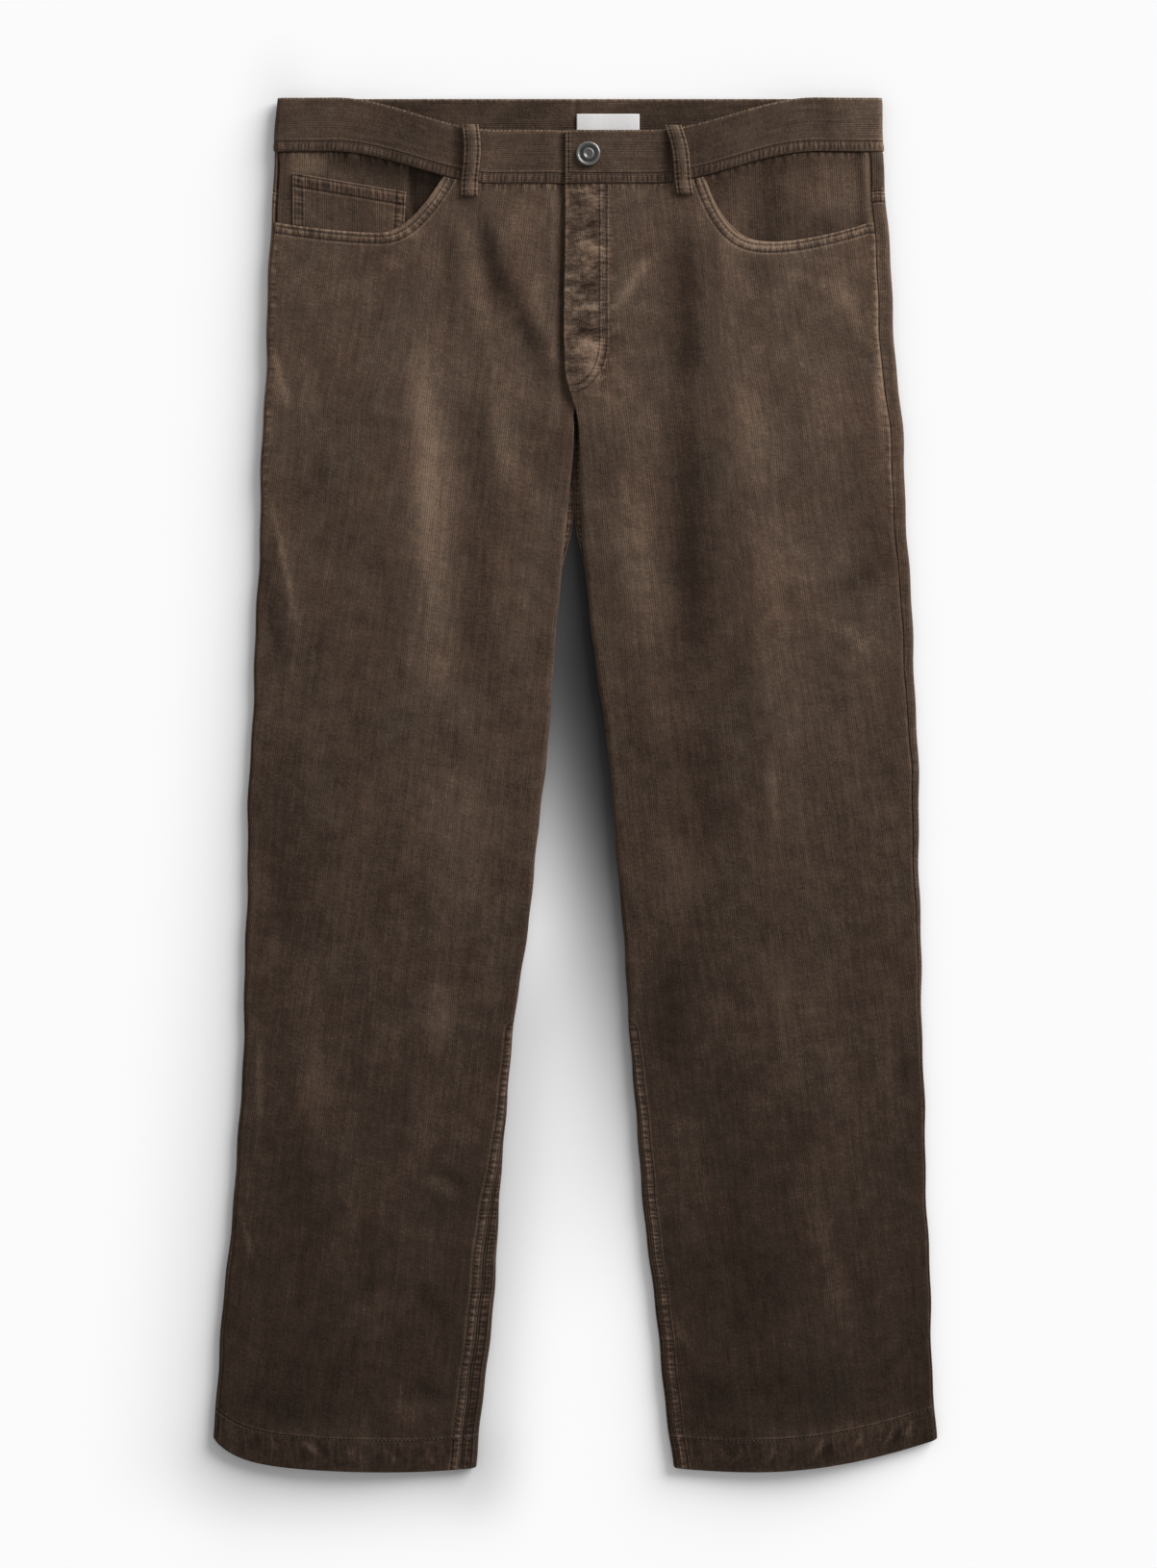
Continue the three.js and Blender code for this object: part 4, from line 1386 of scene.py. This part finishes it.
# ---------------------------------------------------------------------------------------------
# The add-on
# ---------------------------------------------------------------------------------------------
class TrousersSizes(bpy.types.PropertyGroup):
    """Sizes that a user may change."""

    rib_pitch: FloatProperty(
        name="Rib pitch", description="From one rib to the next", default=0.0017, unit="LENGTH"
    )
    rib_lean: FloatProperty(
        name="Rib lean",
        description="How far ribs lean out towards the hems",
        default=RIB_LEAN,
        subtype="ANGLE",
    )
    stitch_pitch: FloatProperty(
        name="Stitch pitch", description="From one stitch to the next", default=0.0031, unit="LENGTH"
    )


def colour_property(name, description, default):
    looks = {"subtype": "COLOR", "min": 0, "max": 1}
    return FloatVectorProperty(name=name, description=description, default=default, **looks)


class TrousersLooks(bpy.types.PropertyGroup):
    """Colours that a user may change."""

    # The cloth's ramp, from deep to light, also shows the painted shade and highlights of folds, seams, ribs
    # and edges.
    cloth_light: colour_property("Cloth, light", "Nap that catches the light", (0.190, 0.130, 0.091))
    cloth_middle: colour_property("Cloth, middle", "Nap that lies at rest", (0.079, 0.0520, 0.0370))
    cloth_dark: colour_property("Cloth, dark", "Nap that lies the other way", (0.0350, 0.0224, 0.0156))
    cloth_deep: colour_property("Cloth, deep", "Between the ribs and in seams", (0.0140, 0.0084, 0.0056))
    sheen: colour_property("Sheen", "The bloom of the pile", (0.55, 0.46, 0.38))
    thread: colour_property("Thread", "Sewing thread", (0.085, 0.058, 0.041))
    label: colour_property("Label", "The bare woven label", (0.74, 0.73, 0.73))
    metal: colour_property("Metal", "The button", (0.23, 0.225, 0.22))
    floor: colour_property("Floor", "The surface under the garment", (0.93, 0.93, 0.935))


def seam(attribute, rows, runs, reach, centre, deep=0.0010, pitch=0.0042, wear_and_highlight=0.0, shade=0.7):
    """How one seam looks: its shade paints light and shade on the puckers, and the edge is made lighter,
    partly by wear and partly by a painted highlight. Rows, reach and centre are in millimetres, the rest of
    its sizes in metres.
    """
    return {
        "attribute": attribute,
        "rows": [r * 0.001 for r in rows],
        "runs": runs,
        "reach": reach * 0.001,
        "centre": centre * 0.001,
        "deep": deep,
        "pitch": pitch,
        "wear_and_highlight": wear_and_highlight,
        "shade": shade,
    }


LEG_SEAMS = [
    seam("from_hem", [HEM_DEEP], "x", 12, 15, 0.0008, 0.011, 0.08, 0.26),
    seam("from_inseam", INSEAM_ROWS, "y", 3, 4.4, 0.0009, 0.0046, 0.16, 0.75),
]


class TROUSERS_OT_fronts(bpy.types.Operator):
    """Make the two fronts"""

    bl_idname = "trousers.fronts"
    bl_label = "Fronts"

    def execute(self, context):
        shared = [
            seam("from_mouth", MOUTH_ROWS, "mouth_run", 3.4, 5.8, 0.0008, 0.0050, 0.12, 0.55),
            *LEG_SEAMS,
            seam("from_outseam", [], "y", 3, 2, 0.0010, 0.009, 0.16, 0.4),
            seam("from_band", [], "x", 5, 0, 0.0010, 0.006),
        ]
        fly = seam("from_fly", [-2.6, 3.0], "y", 6, 1, 0.0009, 0.0046, 0.0, 0.25)
        front_panel("right", corduroy("corduroy_front_right", shared, True))
        front_panel("left", corduroy("corduroy_front_left", [*shared, fly], True))
        return {"FINISHED"}


class TROUSERS_OT_backs(bpy.types.Operator):
    """Make the two backs and their yokes"""

    bl_idname = "trousers.backs"
    bl_label = "Backs and yokes"

    def execute(self, context):
        back = corduroy(
            "corduroy_back",
            [
                *LEG_SEAMS,
                seam("from_outseam", [], "y", 4, 2, 0.0004, 0.009, 0.10, 0.1),
                seam("from_yoke", BACK_ROWS, "x", 5, 5, 0.0010, 0.0045, 0.3),
            ],
        )
        yoke = corduroy("corduroy_yoke", [seam("from_yoke", [], "x", 3, 1, 0.0009, 0.0045)])
        for side in ("right", "left"):
            back_panel(side, back)
            yoke_panel(side, yoke)
        return {"FINISHED"}


class TROUSERS_OT_waistband(bpy.types.Operator):
    """Make the waistband"""

    bl_idname = "trousers.waistband"
    bl_label = "Waistband"

    def execute(self, context):
        material = corduroy(
            "corduroy_waistband",
            [
                seam("from_low", [BAND_ROW], "band_run", 3.6, 3.8, 0.0012, 0.0040, 0.08, 0.5),
                seam("from_top", [], "band_run", 2, 0, 0.0006, 0.006, 0.35),
                seam("from_end", [2.5], "from_low", 3, 2, 0.0008, 0.003, 0.35),
            ],
        )
        waistband(material)
        return {"FINISHED"}


class TROUSERS_OT_front_pockets(bpy.types.Operator):
    """Make the cloth inside the front pockets, and the coin pocket"""

    bl_idname = "trousers.front_pockets"
    bl_label = "Front pockets"

    def execute(self, context):
        facing = corduroy("corduroy_facing", [seam("from_band", [], "x", 5, 0, 0.0010, 0.007)])
        for side in ("right", "left"):
            pocket_facing(side, facing)
        coin = corduroy(
            "corduroy_coin_pocket",
            [
                seam("from_top", [1.8, 10.5], "x", 4, 6, 0.0008, 0.005, 0.3),
                seam("from_side", [1.8, 7.5], "side_run", 4, 5, 0.0008, 0.005, 0.3),
            ],
        )
        coin_pocket(coin)
        return {"FINISHED"}


class TROUSERS_OT_patch_pockets(bpy.types.Operator):
    """Make the patch pockets of the seat"""

    bl_idname = "trousers.patch_pockets"
    bl_label = "Patch pockets"

    def execute(self, context):
        material = corduroy(
            "corduroy_patch_pocket",
            [
                seam("from_edge", BACK_ROWS, "y", 4, 5, 0.0008, 0.005, 0.3),
                seam("from_top", [2.0, 16.0], "x", 4, 8, 0.0008, 0.005, 0.3),
            ],
        )
        for side in ("right", "left"):
            patch_pocket(side, material)
        return {"FINISHED"}


class TROUSERS_OT_belt_loops(bpy.types.Operator):
    """Make the five belt loops"""

    bl_idname = "trousers.belt_loops"
    bl_label = "Belt loops"

    def execute(self, context):
        material = corduroy(
            "corduroy_belt_loop",
            [
                seam("from_edge", [2.2], "loop_run", 2.5, 2, 0.0007, 0.004, 0.35),
                seam("far_edge", [2.2], "loop_run", 2.5, 2, 0.0007, 0.004, 0.35),
            ],
        )
        for row in LOOPS:
            belt_loop(*row, material)
        return {"FINISHED"}


class TROUSERS_OT_trims(bpy.types.Operator):
    """Make the bare label and the shank button"""

    bl_idname = "trousers.trims"
    bl_label = "Label and button"

    def execute(self, context):
        woven_label(label_finish())
        shank_button(metal_finish(BUTTON))
        return {"FINISHED"}


class TROUSERS_OT_stitching(bpy.types.Operator):
    """Sew the rows of topstitching"""

    bl_idname = "trousers.stitching"
    bl_label = "Stitching"

    def execute(self, context):
        thread = thread_finish()
        stitch_piece("stitches_front", front_rows(), thread)
        stitch_piece("stitches_legs", leg_rows(), thread)
        stitch_piece("stitches_waistband", band_rows(), thread)
        stitch_piece("stitches_back", back_rows(), thread)
        return {"FINISHED"}


class TROUSERS_OT_stage(bpy.types.Operator):
    """Set out the floor, the lights and the camera"""

    bl_idname = "trousers.stage"
    bl_label = "Stage"

    def execute(self, context):
        scene = context.scene
        bm = bmesh.new()
        low = Matrix.Translation((0, 0, FLOOR_Z))
        bmesh.ops.create_grid(bm, x_segments=1, y_segments=1, size=4, matrix=low)
        floor = piece_of("floor", bm)
        s = Shader("pale_floor_painted_shadows")
        x, y, _ = s.parts(s.node("TexCoord", {}, {}, output="Object"))

        def ramp(value, start, end, low=0.0, high=1.0):
            sockets = {"Value": value, "From Min": start, "From Max": end, "To Min": low, "To Max": high}
            return s.node("MapRange", {"interpolation_type": "SMOOTHSTEP"}, sockets)

        # Painted shadows on the floor. Each has a middle and a width in metres, and fades out along y or x.
        below_seat = ramp(y, 0.2, 0.3, 1.0, 0.0)
        above_hems = ramp(y, -0.59, -0.51)
        left_inseam, right_inseam = y * 0.094 - 0.026 + x, x + 0.027 - y * 0.094
        right_outseam = y * 0.0494 - y * y * 0.0139 - 0.2535 - x
        below_hem = y + 0.541
        shades = [
            s.bell(left_inseam, 0.0, 0.052) * ramp(y, -0.42, 0.02, 0.0, 0.93) * below_seat,
            s.bell(right_inseam, 0.0, 0.031) * ramp(y, -0.10, -0.2, 0.0, 0.27) * above_hems,
            s.bell(x, 0.0, 0.09) * ramp(y, -0.44, -0.28, 0.0, 0.10) * below_seat,
            s.bell(x, 0.0, 0.09) * ramp(y, -0.12, 0.10, 0.0, 0.84) * below_seat,
            s.bell(right_outseam / (0.041 - y * 0.031), 0.0, 1.0)
            * (0.145 - y * 0.05) * ramp(y, 0.6, 0.52) * above_hems,
            s.bell(below_hem, 0.0, 0.038) * ramp(x, -0.33, -0.25) * ramp(x, -0.02, -0.085) * 0.20,
            s.bell(below_hem, 0.0, 0.026) * ramp(x, 0.03, 0.09) * ramp(x, 0.26, 0.16) * 0.06,
        ]
        lit = 1 - shades[0]
        for shade in shades[1:]:
            lit = lit * (1 - shade)
        colour = s.blend(lit, (0.02, 0.019, 0.020, 1), rgba(scene.trousers_looks.floor))
        finish = s.complete({"Base Color": colour, "Roughness": 0.9, "Specular IOR Level": 0.1})
        floor.data.materials.append(finish)

        world = bpy.data.worlds.new("studio")
        scene.world = world
        world.use_nodes = True
        background = world.node_tree.nodes["Background"]
        background.inputs["Color"].default_value = (1, 1, 1, 1)
        background.inputs["Strength"].default_value = 0.50
        light = bpy.data.lights.new("soft_key", "SUN")
        light.energy = 5.0
        light.angle = math.radians(46)
        lamp = bpy.data.objects.new("soft_key", light)
        lamp.location = (1.55, 1.4, 0.75)
        lamp.rotation_euler = (-lamp.location).to_track_quat("-Z", "Y").to_euler()
        scene.collection.objects.link(lamp)
        view = bpy.data.cameras.new("camera")
        view.sensor_fit = "VERTICAL"
        view.sensor_height = 36
        distance, field_high, cloth_high = 3.4, 1.2225, 0.01
        view.lens = view.sensor_height * distance / field_high
        view.clip_end = 20
        camera = bpy.data.objects.new("camera", view)
        camera.location = (0.0034, 0.0008, distance + cloth_high)
        scene.collection.objects.link(camera)
        scene.camera = camera
        scene.view_settings.view_transform = "Standard"
        return {"FINISHED"}


OPERATORS = [
    TROUSERS_OT_stage,
    TROUSERS_OT_backs,
    TROUSERS_OT_patch_pockets,
    TROUSERS_OT_front_pockets,
    TROUSERS_OT_fronts,
    TROUSERS_OT_waistband,
    TROUSERS_OT_belt_loops,
    TROUSERS_OT_trims,
    TROUSERS_OT_stitching,
]


class TROUSERS_PT_sidebar(bpy.types.Panel):
    """The garment's pieces, sizes and colours"""

    bl_idname = "TROUSERS_PT_sidebar"
    bl_label = "Corduroy Trousers"
    bl_space_type = "VIEW_3D"
    bl_region_type = "UI"
    bl_category = "Trousers"

    def draw(self, context):
        for group in (context.scene.trousers_sizes, context.scene.trousers_looks):
            for key in group.bl_rna.properties.keys():
                if key not in ("rna_type", "name"):
                    self.layout.prop(group, key)
        for operator in OPERATORS:
            self.layout.operator(operator.bl_idname)


CLASSES = [TrousersSizes, TrousersLooks, *OPERATORS, TROUSERS_PT_sidebar]


def register():
    for item in CLASSES:
        bpy.utils.register_class(item)
    bpy.types.Scene.trousers_sizes = PointerProperty(type=TrousersSizes)
    bpy.types.Scene.trousers_looks = PointerProperty(type=TrousersLooks)


def unregister():
    del bpy.types.Scene.trousers_looks
    del bpy.types.Scene.trousers_sizes
    for item in reversed(CLASSES):
        bpy.utils.unregister_class(item)


def main():
    register()
    for operator in OPERATORS:
        getattr(bpy.ops.trousers, operator.bl_idname.split(".")[1])()


if __name__ == "__main__":
    main()
